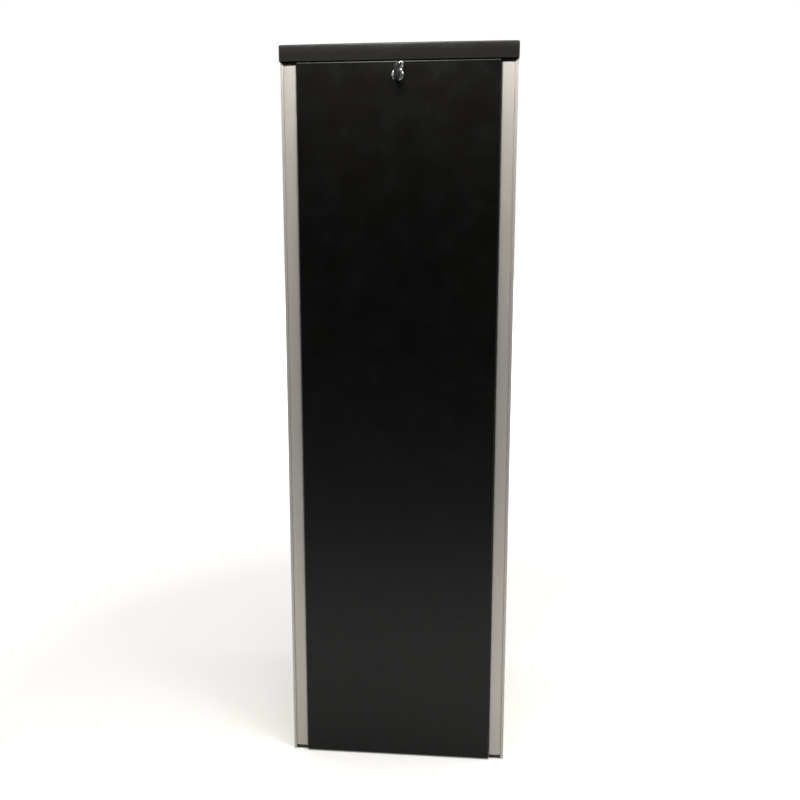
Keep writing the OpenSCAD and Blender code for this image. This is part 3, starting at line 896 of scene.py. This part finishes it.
@dataclass
class RimGasket:
    """Bulb gasket that runs round the cabinet's mouth under the lid."""

    bench: Bench
    width: float = 8 * MM
    corner: float = 9 * MM
    samples: int = 10
    edge_h: float = 2.2 * MM
    shoulder_h: float = 3.0 * MM
    shoulder: float = 0.14
    bulb: float = 0.46
    bulb_start: float = -38.0
    bulb_turn: float = 256.0

    def build(self) -> None:
        """Sweeps the bulb section round the mouth."""
        low, high = (Vector(c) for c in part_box("rim_gasket"))
        bm = bmesh.new()
        rings = []
        for off, z in self.section(high.z - low.z):
            corners = [
                (low.x + off, low.y + off), (high.x - off, low.y + off),
                (high.x - off, high.y - off), (low.x + off, high.y - off),
            ]
            ring = Shape.fillet(corners, max(self.corner - off, MM), self.samples)
            rings.append([Vector((u, v, low.z + z)) for u, v in ring])
        Shape.loft(bm, rings, caps=False, wrap=True)
        self.bench.replace(Shape.publish("rim_gasket_bulb", bm), "rim_gasket")

    def section(self, height: float) -> list[Point]:
        """Draws the foot and bulb of the gasket.

        Args:
            height: Height over foot and bulb.

        Returns:
            The section as (inset, height) pairs.
        """
        near, far = self.width * self.shoulder, self.width * (1 - self.shoulder)
        right = [(self.width, 0.0), (self.width, self.edge_h), (far, self.shoulder_h)]
        left = [(near, self.shoulder_h), (0.0, self.edge_h)]
        bulb_r = self.width * self.bulb
        centre = height - bulb_r
        steps = 16
        arc = [math.radians(self.bulb_start + self.bulb_turn * k / steps) for k in range(steps + 1)]
        bulb = [(self.width / 2 + bulb_r * math.cos(a), centre + bulb_r * math.sin(a)) for a in arc]
        return [(0.0, 0.0), *right, *bulb, *left]


@dataclass
class FloorMat:
    """Rubber mat with raised ribs and clear holes over the floor anchors."""

    bench: Bench
    rib_pitch: float = 7 * MM
    rib_h: float = 0.9 * MM
    rib_half: float = 1.5 * MM
    margin: float = 6 * MM
    hole_r: float = 9.5 * MM
    hole_land: float = 3 * MM

    def build(self) -> None:
        """Builds the ribbed mat."""
        low, high = (Vector(c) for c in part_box("floor_mat"))
        mount = next(m for m in frame["record"]["mounts"] if m["name"] == "floor_anchors")
        reach_x = mount["dims"]["spacing_x_mm"] * MM / 2
        reach_y = mount["dims"]["spacing_y_mm"] * MM / 2
        bm = bmesh.new()
        base = high.z - self.rib_h
        corners = [(low.x, low.y), (high.x, low.y), (high.x, high.y), (low.x, high.y)]
        outline = Shape.fillet(corners, self.margin, 6)
        sides = 32
        turns = [2 * math.pi * k / sides for k in range(sides)]
        holes = []
        for sx in (-1, 1):
            for sy in (-1, 1):
                x, y = sx * reach_x, sy * reach_y
                holes.append([(x + self.hole_r * math.cos(a), y + self.hole_r * math.sin(a)) for a in turns])
        Shape.drawn(bm, outline, Axis.Z, [low.z, base], holes)
        count = int((high.x - low.x - 2 * self.margin) / self.rib_pitch)
        start = -(count - 1) / 2 * self.rib_pitch
        for k in range(count):
            self.rib(bm, start + k * self.rib_pitch, low, high, base, reach_x, reach_y)
        self.bench.replace(Shape.publish("floor_mat_ribbed", bm), "floor_mat")

    def rib(self, bm: bmesh.types.BMesh, x: float, low: Vector, high: Vector, base: float, reach_x: float,
            reach_y: float) -> None:
        """Adds one rib, split where it would cross an anchor hole.

        Args:
            bm: Mesh that receives the rib.
            x: Place of the rib.
            low: Lowest corner of the mat.
            high: Highest corner of the mat.
            base: Height of the rib's foot.
            reach_x: Distance of the holes from the middle, side to side.
            reach_y: Distance of the holes from the middle, front to back.
        """
        y0, y1 = low.y + self.margin, high.y - self.margin
        runs = [(y0, y1)]
        gap = self.hole_r + self.hole_land
        if abs(abs(x) - reach_x) < gap:
            runs = [(y0, -reach_y - gap), (gap - reach_y, reach_y - gap), (reach_y + gap, y1)]
        steps = 6
        crown = [math.pi * k / steps for k in range(steps + 1)]
        arc = [(x + self.rib_half * math.cos(a), base + self.rib_h * math.sin(a)) for a in crown]
        for start, stop in runs:
            Shape.drawn(bm, arc, Axis.Y, [start, stop])


class HeadKind(Enum):
    """Kinds of fastener head."""

    DOME = "dome"
    CROSS = "cross"


@dataclass
class Fasteners:
    """Rivets and screws, one turned head and shank for each CAD solid."""

    bench: Bench
    segments: int = 24
    head_share: float = 0.36
    head_most: float = 0.45
    dome_foot: float = 0.25
    shank_most: float = 0.7

    def build(self, node: str, direction: Vector, kind: HeadKind, shank_r: float) -> None:
        """Builds all fasteners of one node.

        Args:
            node: CAD node that holds the fasteners.
            direction: Way the heads point.
            kind: Kind of head.
            shank_r: Radius of the shank.
        """
        bm = bmesh.new()
        for low, high in Shape.islands(node):
            centre = (low + high) / 2
            size = high - low
            length = abs(size.dot(direction))
            across = [abs(s) for s, d in zip(size, direction) if abs(d) < 0.5]
            head_r = max(across) / 2
            way = direction.copy()
            if abs(way.x) > 0.5:
                way = way * (1 if centre.x > 0 else -1)
            foot = centre - way * (length / 2)
            self.one(bm, foot, way, length, head_r, min(shank_r, head_r * self.shank_most), kind)
        self.bench.replace(Shape.publish(f"{node}_turned", bm), node)

    def one(self, bm: bmesh.types.BMesh, foot: Vector, way: Vector, length: float, head_r: float,
            shank_r: float, kind: HeadKind) -> None:
        """Adds one fastener.

        Args:
            bm: Mesh that receives it.
            foot: End of the shank.
            way: Direction of the head.
            length: Length over shank and head.
            head_r: Radius of the head.
            shank_r: Radius of the shank.
            kind: Kind of head.
        """
        head_h = min(self.head_share * head_r, self.head_most * length)
        seat = length - head_h
        steps = 6
        arc = [math.pi / 2 * k / steps for k in range(steps)]
        foot_h, dome_h = head_h * self.dome_foot, head_h * (1 - self.dome_foot)
        dome = [(head_r * math.cos(a), seat + foot_h + dome_h * math.sin(a)) for a in arc]
        tip = [(0.0, 0.0), (shank_r * 0.85, 0.0), (shank_r, 0.15 * shank_r)]
        profile = tip + [(shank_r, seat), (head_r, seat)]
        Shape.turned(bm, profile + dome + [(0.0, length)], foot, way, self.segments)
        if kind is HeadKind.CROSS:
            self.cross(bm, foot + way * (length - 0.05 * head_h), way, head_r)

    @staticmethod
    def cross(bm: bmesh.types.BMesh, top: Vector, way: Vector, head_r: float) -> None:
        """Adds the dark-edged cross of a screw's drive as two crossed lands.

        Args:
            bm: Mesh that receives it.
            top: Middle of the head's top.
            way: Direction of the head.
            head_r: Radius of the head.
        """
        side = way.orthogonal().normalized()
        other = way.cross(side)
        for long, short in ((side, other), (other, side)):
            a, b = long * head_r * 0.45, short * head_r * 0.09
            lift = way * head_r * 0.05
            low = [top - a - b - lift, top + a - b - lift, top + a + b - lift, top - a + b - lift]
            Shape.loft(bm, [low, [p + lift * 2 for p in low]])


@dataclass
class TrapSprings:
    """Two torsion springs wound from round wire, each with a leg to its bracket."""

    bench: Bench
    wire_r: float = 1.0 * MM
    turns: float = 8.0
    per_turn: int = 28
    leg_rises: tuple[float, ...] = (0.0, 7 * MM, 14 * MM, 19 * MM)

    def build(self) -> None:
        """Winds both springs round the trap's shaft."""
        joint = next(j for j in frame["joints"] if j["name"] == "trap_hinge")
        centre = Vector(joint["pos_m"])
        bm = bmesh.new()
        for low, high in Shape.islands("trap_springs"):
            sign = 1 if (low + high).x > 0 else -1
            outer = max(abs(low.x), abs(high.x))
            inner = min(abs(low.x), abs(high.x))
            radius = (high.y - low.y) / 2 - self.wire_r
            steps = int(self.turns * self.per_turn)
            run = outer - inner - 2.2 * self.wire_r
            coil = []
            for k in range(steps + 1):
                a = 2 * math.pi * self.turns * k / steps
                x = sign * (outer - 1.1 * self.wire_r - run * k / steps)
                coil.append(Vector((x, centre.y + radius * math.cos(a), centre.z + radius * math.sin(a))))
            leg = [Vector((coil[0].x, centre.y + radius, low.z + rise)) for rise in self.leg_rises]
            Shape.tube(bm, leg + coil, self.wire_r * 0.95, 10)
        self.bench.replace(Shape.publish("trap_springs_wound", bm, 50), "trap_springs")


@dataclass
class Cabinet:
    """The fixed cabinet with its frame, base, hinges and trap fittings."""

    bench: Bench
    plain: dict[str, float] = field(default_factory=lambda: {
        "base_plate": 0.4 * MM, "base_side_angles": 0.3 * MM, "rear_panel": 0.3 * MM, "header_rail": 0.4 * MM,
        "rear_top_rail": 0.3 * MM, "top_rail_left": 0.3 * MM, "top_rail_right": 0.3 * MM,
        "lock_keeper": 0.3 * MM, "door_buffers": 0.5 * MM, "door_pivot_brackets": 0.4 * MM,
        "body_hinge_leaves": 0.25 * MM, "lid_hinge_pins": 0.4 * MM, "trap_brackets": 0.4 * MM,
        "trap_stops": 0.3 * MM,
    })

    def build(self) -> None:
        """Builds the cabinet's pieces."""
        for node, bevel in self.plain.items():
            self.bench.keep(node, bevel)
        CornerPosts(self.bench).build()
        SidePanels(self.bench).build()
        EndCaps(self.bench).build()
        RimGasket(self.bench).build()
        FloorMat(self.bench).build()
        TrapSprings(self.bench).build()
        fasteners = Fasteners(self.bench)
        fasteners.build("pivot_bracket_rivets", Vector((0, 0, 1)), HeadKind.DOME, 2 * MM)
        fasteners.build("body_hinge_rivets", Vector((0, 1, 0)), HeadKind.DOME, 2 * MM)
        fasteners.build("trap_bracket_rivets", Vector((-1, 0, 0)), HeadKind.DOME, 2 * MM)


# ---- Door, lock and key ----


@dataclass
class Door:
    """The bottom-hung door: folded skin, liner, stiffeners and pins."""

    bench: Bench
    plain: dict[str, float] = field(default_factory=lambda: {
        "door_skin": 0.0, "door_liner": 0.3 * MM, "door_stiffeners": 0.3 * MM, "door_hinge_pins": 0.4 * MM,
        "door_pin_brackets": 0.3 * MM, "lock_nut": 0.4 * MM,
    })

    def build(self) -> None:
        """Builds the door's pieces."""
        for node, bevel in self.plain.items():
            self.bench.keep(node, bevel)
        Fasteners(self.bench).build("liner_screws", Vector((0, 1, 0)), HeadKind.CROSS, 1.75 * MM)


@dataclass
class CamLock:
    """The cam lock at the door's top edge, with its key and dust shutter."""

    bench: Bench
    face: Vector = field(default_factory=lambda: Vector((0, -1, 0)))
    barrel_r: float = 8 * MM
    flange_t: float = 2 * MM
    flange_rim: float = 0.35 * MM
    plug_gap: float = 0.05 * MM
    mouth: float = 0.9 * MM
    pitch: float = 0.5 * MM
    thread_depth: float = 0.35 * MM
    thread_from: float = 6 * MM
    thread_end: float = 1 * MM
    bow_corner: float = 6 * MM
    bow_edge: float = 1.3 * MM
    ring_hole_r: float = 2.6 * MM
    ring_hole_in: float = 6 * MM
    ring_hole_flare: float = 0.8 * MM
    shutter_tail_r: float = 3.2 * MM
    shutter_rim: float = 0.3 * MM

    def build(self) -> None:
        """Builds housing, plug, cam, screw, key and shutter."""
        self.housing()
        self.bench.keep("lock_plug", 0.25 * MM)
        self.bench.keep("lock_cam", 0.4 * MM)
        Fasteners(self.bench).build("cam_screw", Vector((0, 1, 0)), HeadKind.CROSS, 1.8 * MM)
        Fasteners(self.bench).build("shutter_rivet", self.face, HeadKind.DOME, 1.2 * MM)
        self.bench.keep("key_blade", 0.15 * MM)
        self.key_bow()
        self.shutter()

    def housing(self) -> None:
        """Turns the barrel and its domed flange, with a bore for the plug."""
        low, high = (Vector(c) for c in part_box("lock_housing"))
        plug_low, plug_high = (Vector(c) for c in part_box("lock_plug"))
        flange_r = (high.x - low.x) / 2
        bore_r = (plug_high.x - plug_low.x) / 2 + self.plug_gap
        barrel_r, flange_t, length = self.barrel_r, self.flange_t, high.y - low.y
        foot = Vector(((low.x + high.x) / 2, high.y, (low.z + high.z) / 2))
        seat = length - flange_t
        turns = int((seat - self.thread_from - self.thread_end) / self.pitch)
        threads = [
            (barrel_r - (self.thread_depth if k % 2 else 0.0), self.thread_from + k * self.pitch)
            for k in range(turns)
        ]
        steps = 10
        dome = []
        for k in range(steps + 1):
            t = math.pi / 2 * k / steps
            radius = bore_r + self.mouth + (flange_r - bore_r - self.mouth) * math.cos(t)
            rise = (flange_t - self.flange_rim) * math.sin(t) ** 0.8
            dome.append((radius, seat + self.flange_rim + rise))
        outside = [(bore_r, 0.0), (barrel_r - 0.5 * MM, 0.0), (barrel_r, 0.5 * MM), *threads,
                   (barrel_r, seat), (flange_r - 0.2 * MM, seat), (flange_r, seat + 0.2 * MM)]
        rim = [(bore_r + self.flange_rim, length), (bore_r, length - self.flange_rim), (bore_r, 0.0)]
        bm = bmesh.new()
        Shape.turned(bm, outside + dome + rim, foot, self.face, 72)
        bmesh.ops.remove_doubles(bm, verts=bm.verts, dist=1e-7)
        self.bench.replace(Shape.publish("lock_housing_turned", bm, 40), "lock_housing")

    def key_bow(self) -> None:
        """Moulds the key's grip: rounded outline, soft edges and a ring hole."""
        low, high = (Vector(c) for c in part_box("key_bow"))
        corner, edge = self.bow_corner, self.bow_edge
        half = (high.x - low.x) / 2
        hole_y, hole_z = low.y + self.ring_hole_in, (low.z + high.z) / 2
        bm = bmesh.new()
        rings, hole_rings = [], []
        turns = [2 * math.pi * k / 40 for k in range(40)]
        for k in range(-5, 6):
            x = half * math.sin(math.pi / 2 * k / 5) if abs(k) == 5 else (half - edge) * k / 4
            pull = edge if abs(k) == 5 else 0.0
            if abs(k) == 4:
                pull = edge * 0.12
            corners = [(low.y + pull, low.z + pull), (high.y - pull, low.z + pull),
                       (high.y - pull, high.z - pull), (low.y + pull, high.z - pull)]
            outline = Shape.fillet(corners, corner - pull * 0.5, 8)
            rings.append([Vector((x, u, v)) for u, v in outline])
            r = self.ring_hole_r + (self.ring_hole_flare if abs(k) == 5 else 0.0)
            hole_rings.append([
                Vector((x, hole_y + r * math.cos(a), hole_z + r * math.sin(a))) for a in turns
            ])
        made = []
        for group in (rings, hole_rings):
            rows = [[bm.verts.new(p) for p in ring] for ring in group]
            made.append(rows)
            for a, b in zip(rows, rows[1:]):
                for i in range(len(a)):
                    j = (i + 1) % len(a)
                    bm.faces.new((a[i], a[j], b[j], b[i]))
        for index in (0, -1):
            rim = [bm.edges.get((row[i], row[(i + 1) % len(row)]))
                   for row in (made[0][index], made[1][index]) for i in range(len(row))]
            bmesh.ops.triangle_fill(bm, edges=rim, use_beauty=True)
        self.bench.replace(Shape.publish("key_bow_moulded", bm, 45), "key_bow")

    def shutter(self) -> None:
        """Presses the dust shutter: a rounded leaf with a turned-over rim."""
        low, high = (Vector(c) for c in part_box("dust_shutter"))
        tip_r, tail_r = (high.x - low.x) / 2, self.shutter_tail_r
        x = (low.x + high.x) / 2
        top_z, foot_z = high.z - tip_r, low.z + tail_r
        arc_steps = 14
        tip = [math.radians(180 * k / arc_steps) for k in range(arc_steps + 1)]
        tail = [math.radians(180 + 180 * k / arc_steps) for k in range(arc_steps + 1)]
        rings = []
        back, front, rim = high.y, low.y, self.shutter_rim
        rear_levels = [(back, rim), (back - rim * 0.5, 0.0)]
        edge_levels = [(front + rim, 0.0), (front + rim * 0.3, rim * 0.3), (front, rim)]
        face_levels = [(front, 1.1 * MM), (front + 0.25 * MM, 1.5 * MM)]
        for y, pull in rear_levels + edge_levels + face_levels:
            r = tip_r - pull
            ring = [Vector((x + r * math.cos(a), y, top_z + r * math.sin(a))) for a in tip]
            r = tail_r - pull
            ring += [Vector((x + r * math.cos(a), y, foot_z + r * math.sin(a))) for a in tail]
            rings.append(ring)
        bm = bmesh.new()
        Shape.loft(bm, rings)
        self.bench.replace(Shape.publish("dust_shutter_pressed", bm, 40), "dust_shutter")


# ---- Lid ----


@dataclass
class Lid:
    """The folded lid with its crown, stiffener and hinge leaves."""

    bench: Bench
    sheet: float = 1.5 * MM
    fold: float = 2.4 * MM
    crown: float = 0.5 * MM
    outer_corner: float = 3.0 * MM
    inner_corner: float = 1.6 * MM
    hem: float = 0.4 * MM
    shrink: tuple[float, ...] = (0.98, 0.82, 0.64, 0.46, 0.30, 0.16, 0.07)
    per_side: int = 16
    per_corner: int = 5

    def build(self) -> None:
        """Builds the lid's pieces."""
        self.skin()
        self.bench.keep("lid_stiffener", 0.3 * MM)
        self.bench.keep("lid_hinge_leaves", 0.25 * MM)
        Fasteners(self.bench).build("lid_hinge_rivets", Vector((0, 1, 0)), HeadKind.DOME, 2 * MM)

    def ring(self, low: Vector, high: Vector, inset: float, z: float, radius: float,
             sag: bool) -> list[Vector]:
        """Draws one level of the lid.

        Args:
            low: Lowest corner of the lid.
            high: Highest corner of the lid.
            inset: Inset from the lid's sides.
            z: Height at the ridge.
            radius: Radius of the upright corners.
            sag: Whether the level follows the crown.

        Returns:
            The level's points in order.
        """
        x0, x1, y0, y1 = low.x + inset, high.x - inset, low.y + inset, high.y - inset
        radius = min(radius, 0.45 * (x1 - x0), 0.45 * (y1 - y0))
        centres = ((x1 - radius, y0 + radius, -90), (x1 - radius, y1 - radius, 0),
                   (x0 + radius, y1 - radius, 90), (x0 + radius, y0 + radius, 180))
        points: list[Point] = []
        for i, (cx, cy, start) in enumerate(centres):
            for k in range(self.per_corner + 1):
                a = math.radians(start + 90 * k / self.per_corner)
                points.append((cx + radius * math.cos(a), cy + radius * math.sin(a)))
            nx, ny, turn = centres[(i + 1) % 4]
            a = math.radians(turn)
            stop = (nx + radius * math.cos(a), ny + radius * math.sin(a))
            begin = points[-1]
            for k in range(1, self.per_side):
                t = k / self.per_side
                points.append((begin[0] + (stop[0] - begin[0]) * t, begin[1] + (stop[1] - begin[1]) * t))
        half = (high.x - low.x) / 2
        drop = self.crown if sag else 0.0
        return [Vector((u, v, z - drop * (u / half) ** 2)) for u, v in points]

    def skin(self) -> None:
        """Folds the lid's sheet: crowned top, rounded folds and an open skirt."""
        low, high = (Vector(c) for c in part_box("lid_skin"))
        rings: list[list[Vector]] = []
        middle = min(high.x - low.x, high.y - low.y) / 2
        shrink = [middle * s for s in self.shrink]
        outer_c, inner_c = self.outer_corner, self.inner_corner
        t, r = self.sheet, self.fold
        for inset in shrink:
            rings.append(self.ring(low, high, inset, high.z - t, outer_c, True))
        inner = r - t
        for k in range(5):
            a = math.pi / 2 * k / 4
            z = high.z - t - inner * (1 - math.cos(a))
            rings.append(self.ring(low, high, t + inner * (1 - math.sin(a)), z, inner_c, True))
        rings.append(self.ring(low, high, t, low.z + self.hem, inner_c, False))
        rings.append(self.ring(low, high, t * 0.75, low.z, 2.0 * MM, False))
        rings.append(self.ring(low, high, t * 0.25, low.z, 2.6 * MM, False))
        rings.append(self.ring(low, high, 0.0, low.z + self.hem, outer_c, False))
        for k in range(7):
            a = math.pi / 2 * k / 6
            z = high.z - r * (1 - math.sin(a))
            rings.append(self.ring(low, high, r * (1 - math.cos(a)), z, outer_c, True))
        for inset in reversed(shrink):
            rings.append(self.ring(low, high, inset, high.z, outer_c, True))
        bm = bmesh.new()
        Shape.loft(bm, rings)
        self.bench.replace(Shape.publish("lid_skin_folded", bm, 50), "lid_skin")


# ---- Parcel trap ----


@dataclass
class ParcelTrap:
    """The one-way flap under the lid, on its shaft."""

    bench: Bench

    def build(self) -> None:
        """Builds the flap, its rivets and its shaft."""
        self.bench.keep("trap_flap", 0.3 * MM)
        self.bench.keep("trap_shaft", 0.5 * MM)
        Fasteners(self.bench).build("trap_flap_rivets", Vector((0, 0, 1)), HeadKind.DOME, 2 * MM)


# ---- Studio ----


@dataclass(frozen=True)
class SoftLight:
    """One soft area light."""

    name: str
    place: tuple[float, float, float]
    aim: tuple[float, float, float]
    size: tuple[float, float]
    power: float
    colour: Colour = (1.0, 1.0, 1.0)

    def build(self) -> None:
        """Adds the light to the scene."""
        data = bpy.data.lights.new(self.name, "AREA")
        data.shape = "RECTANGLE"
        data.size, data.size_y = self.size
        data.energy = self.power
        data.color = self.colour
        obj = bpy.data.objects.new(self.name, data)
        obj.location = self.place
        obj.rotation_euler = (Vector(self.aim) - Vector(self.place)).to_track_quat("-Z", "Y").to_euler()
        obj.visible_camera = False
        bpy.context.scene.collection.objects.link(obj)


@dataclass
class Studio:
    """Pale floor, soft lights, surroundings and the camera."""

    eye: tuple[float, float, float] = (0.136, -1.623, 0.895)
    yaw: float = -0.0920
    pitch: float = 0.1680
    roll: float = 0.001
    focal: float = 38.88
    floor_half: float = 30.0
    shade_sheet_half: float = 30.0
    shade_sheet_z: float = 0.5 * MM
    shade_sheet_far: float = 30.0
    shade_sheet_fall: tuple[float, ...] = (0.0, 0.3, 0.55, 0.92, 1.45, 3.6)
    shade_sheet_clear: tuple[float, ...] = (0.56, 0.70, 0.74, 0.46, 0.19, 0.02)
    glow_from: float = 0.8
    glow_full: float = 2.6
    glow_near: float = 0.12
    floor_tones: tuple[Colour, Colour] = ((0.80, 0.80, 0.79), (0.84, 0.84, 0.83))

    def build(self) -> None:
        """Builds the whole studio."""
        self.floor()
        self.dark_cloth()
        self.surroundings()
        self.camera()
        for light in self.lights():
            light.build()
        bpy.context.scene.view_settings.view_transform = "Standard"

    @staticmethod
    def lights() -> list[SoftLight]:
        """Lists the soft lights and returns them."""
        warm, daylight, fill = (1.0, 0.965, 0.92), (1.0, 0.99, 0.975), (1.0, 0.99, 0.97)
        return [
            SoftLight("top_bar", (0.0, -0.66, 1.62), (0.0, -0.19, 1.14), (1.3, 0.14), 9.4, warm),
            SoftLight("top_lamp", (-0.06, -0.56, 1.48), (-0.02, -0.19, 1.16), (0.18, 0.12), 1.3, warm),
            SoftLight("right_fill", (1.3, -1.3, 1.9), (0.1, -0.19, 0.8), (0.4, 0.4), 5.0, fill),
            SoftLight("overhead", (0.95, -0.25, 2.35), (0.0, -0.05, 0.1), (1.3, 1.3), 22.0, daylight),
        ]

    @staticmethod
    def sheet(name: str, x: float, near: float, far: float, z: float) -> bpy.types.Object:
        """Lays a flat sheet.

        Args:
            name: Name of the sheet.
            x: Half of its width.
            near: Lowest Y.
            far: Highest Y.
            z: Height.

        Returns:
            The sheet.
        """
        bm = bmesh.new()
        bm.faces.new([bm.verts.new(p) for p in ((-x, near, z), (x, near, z), (x, far, z), (-x, far, z))])
        return Shape.publish(name, bm)

    @staticmethod
    def ramp(g: Graph, source: bpy.types.NodeSocket,
             stops: list[tuple[float, Colour]]) -> bpy.types.NodeSocket:
        """Maps a value through colour stops.

        Args:
            g: Graph that receives the node.
            source: Value from 0 to 1.
            stops: Position and colour of each stop.

        Returns:
            The colour.
        """
        made = g.node("ValToRGB")
        elements = made.color_ramp.elements
        while len(elements) < len(stops):
            elements.new(0.5)
        for element, (position, colour) in zip(elements, stops):
            element.position = position
            element.color = (*colour, 1)
        g.link(source, made.inputs["Fac"])
        return made.outputs["Color"]

    def floor(self) -> None:
        """Lays the pale floor, which glows softly away from the cabinet."""
        obj = self.sheet("studio_floor", self.floor_half, -self.floor_half, self.floor_half, 0.0)
        g = Graph("pale_floor")
        tone = g.noise(0.6, detail=3)
        g.feed(g.blend(tone, *self.floor_tones), "Base Color")
        reach = g.node("VectorMath", operation="LENGTH")
        g.link(g.coords, reach.inputs[0])
        glow = g.span(reach.outputs["Value"], self.glow_from, self.glow_full, self.glow_near, 1.0)
        g.feed(glow, "Emission Strength")
        g.set(Roughness=0.85, Emission_Color=(1.0, 1.0, 1.0, 1.0))
        obj.data.materials.append(g.material)

    def dark_cloth(self) -> None:
        """Lays a dark sheet on the floor that only reflections see, a painted shade in the floor's reflection; it
        lets less through further out.
        """
        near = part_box("door_skin")[0][1]
        obj = self.sheet("studio_dark_cloth", self.shade_sheet_half, near - self.shade_sheet_far, near, self.shade_sheet_z)
        g = Graph("dark_cloth")
        split = g.node("SeparateXYZ")
        g.link(g.coords, split.inputs[0])
        away = g.span(split.outputs["Y"], near, near - self.shade_sheet_far, 0.0, 1.0)
        stops = [(at / self.shade_sheet_far, (c, c, c)) for at, c in zip(self.shade_sheet_fall, self.shade_sheet_clear)]
        tone = self.ramp(g, away, stops)
        open_part = g.node("BsdfTransparent")
        g.link(tone, open_part.inputs["Color"])
        out = g.tree.nodes["Material Output"]
        g.link(open_part.outputs[0], out.inputs["Surface"])
        obj.data.materials.append(g.material)
        # Painted reflection shade: the sheet darkens the floor as reflected in the cabinet and is hidden from
        # every other ray.
        for ray in ("camera", "diffuse", "transmission", "shadow"):
            setattr(obj, f"visible_{ray}", False)

    @staticmethod
    def surroundings() -> None:
        """Sets a soft room: dark in front, lighter above and at the sides, and a white backdrop."""
        world = bpy.data.worlds.new("studio_room")
        bpy.context.scene.world = world
        world.use_nodes = True
        tree = world.node_tree
        tree.nodes.clear()

        def node(kind: str, **values: object) -> bpy.types.Node:
            """Adds a node with its input values and returns it."""
            made = tree.nodes.new("ShaderNode" + kind)
            for key, value in values.items():
                made.inputs[key.replace("_", " ")].default_value = value
            return made

        split = node("SeparateXYZ")
        tree.links.new(node("TexCoord").outputs["Generated"], split.inputs[0])
        ramp = node("ValToRGB")
        lowest = -0.2
        lift = node("MapRange", From_Min=lowest, From_Max=1.0)
        tree.links.new(split.outputs["Z"], lift.inputs["Value"])
        tree.links.new(lift.outputs["Result"], ramp.inputs["Fac"])
        stops = ramp.color_ramp.elements
        heights = (0.0, 0.05, 0.12, 0.22, 0.45, 0.8)
        tones = (0.0, 0.015, 0.06, 0.16, 0.42, 0.9)
        while len(stops) < len(heights):
            stops.new(0.5)
        for stop, height, tone in zip(stops, heights, tones):
            stop.position = (height - lowest) / (1.0 - lowest)
            stop.color = (tone, tone * 0.985, tone * 0.955, 1)
        glow = ramp.outputs["Color"]
        left_wall, right_wall = (-0.40, -0.9, 0.8), (0.8, 0.99, 0.7)
        for start, stop, tone in (left_wall, right_wall):
            side = node("MapRange", From_Min=start, From_Max=stop, To_Min=0.0, To_Max=tone)
            side.interpolation_type = "SMOOTHSTEP"
            tree.links.new(split.outputs["X"], side.inputs["Value"])
            total = node("VectorMath")
            total.operation = "ADD"
            tree.links.new(glow, total.inputs[0])
            tree.links.new(side.outputs["Result"], total.inputs[1])
            glow = total.outputs[0]
        room = node("Background")
        tree.links.new(glow, room.inputs["Color"])
        white = node("Background", Color=(1, 1, 1, 1), Strength=1.0)
        mix = node("MixShader")
        tree.links.new(node("LightPath").outputs["Is Camera Ray"], mix.inputs[0])
        tree.links.new(room.outputs[0], mix.inputs[1])
        tree.links.new(white.outputs[0], mix.inputs[2])
        tree.links.new(mix.outputs[0], node("OutputWorld").inputs["Surface"])

    def camera(self) -> None:
        """Places the camera and makes it the scene's own."""
        data = bpy.data.cameras.new("studio_camera")
        data.lens = self.focal
        data.sensor_width = 36.0
        data.clip_end = 200.0
        obj = bpy.data.objects.new("studio_camera", data)
        obj.location = self.eye
        level = math.cos(self.pitch)
        ahead = Vector((math.sin(self.yaw) * level, math.cos(self.yaw) * level, -math.sin(self.pitch)))
        obj.rotation_euler = ahead.to_track_quat("-Z", "Y").to_euler()
        obj.rotation_euler.rotate_axis("Z", self.roll)
        bpy.context.scene.collection.objects.link(obj)
        bpy.context.scene.camera = obj


def main() -> None:
    """Builds the locker, piece by piece, and its studio."""
    bench = Bench(Finishes())
    Cabinet(bench).build()
    Door(bench).build()
    CamLock(bench).build()
    Lid(bench).build()
    ParcelTrap(bench).build()
    Studio().build()


if __name__ == "__main__":
    main()
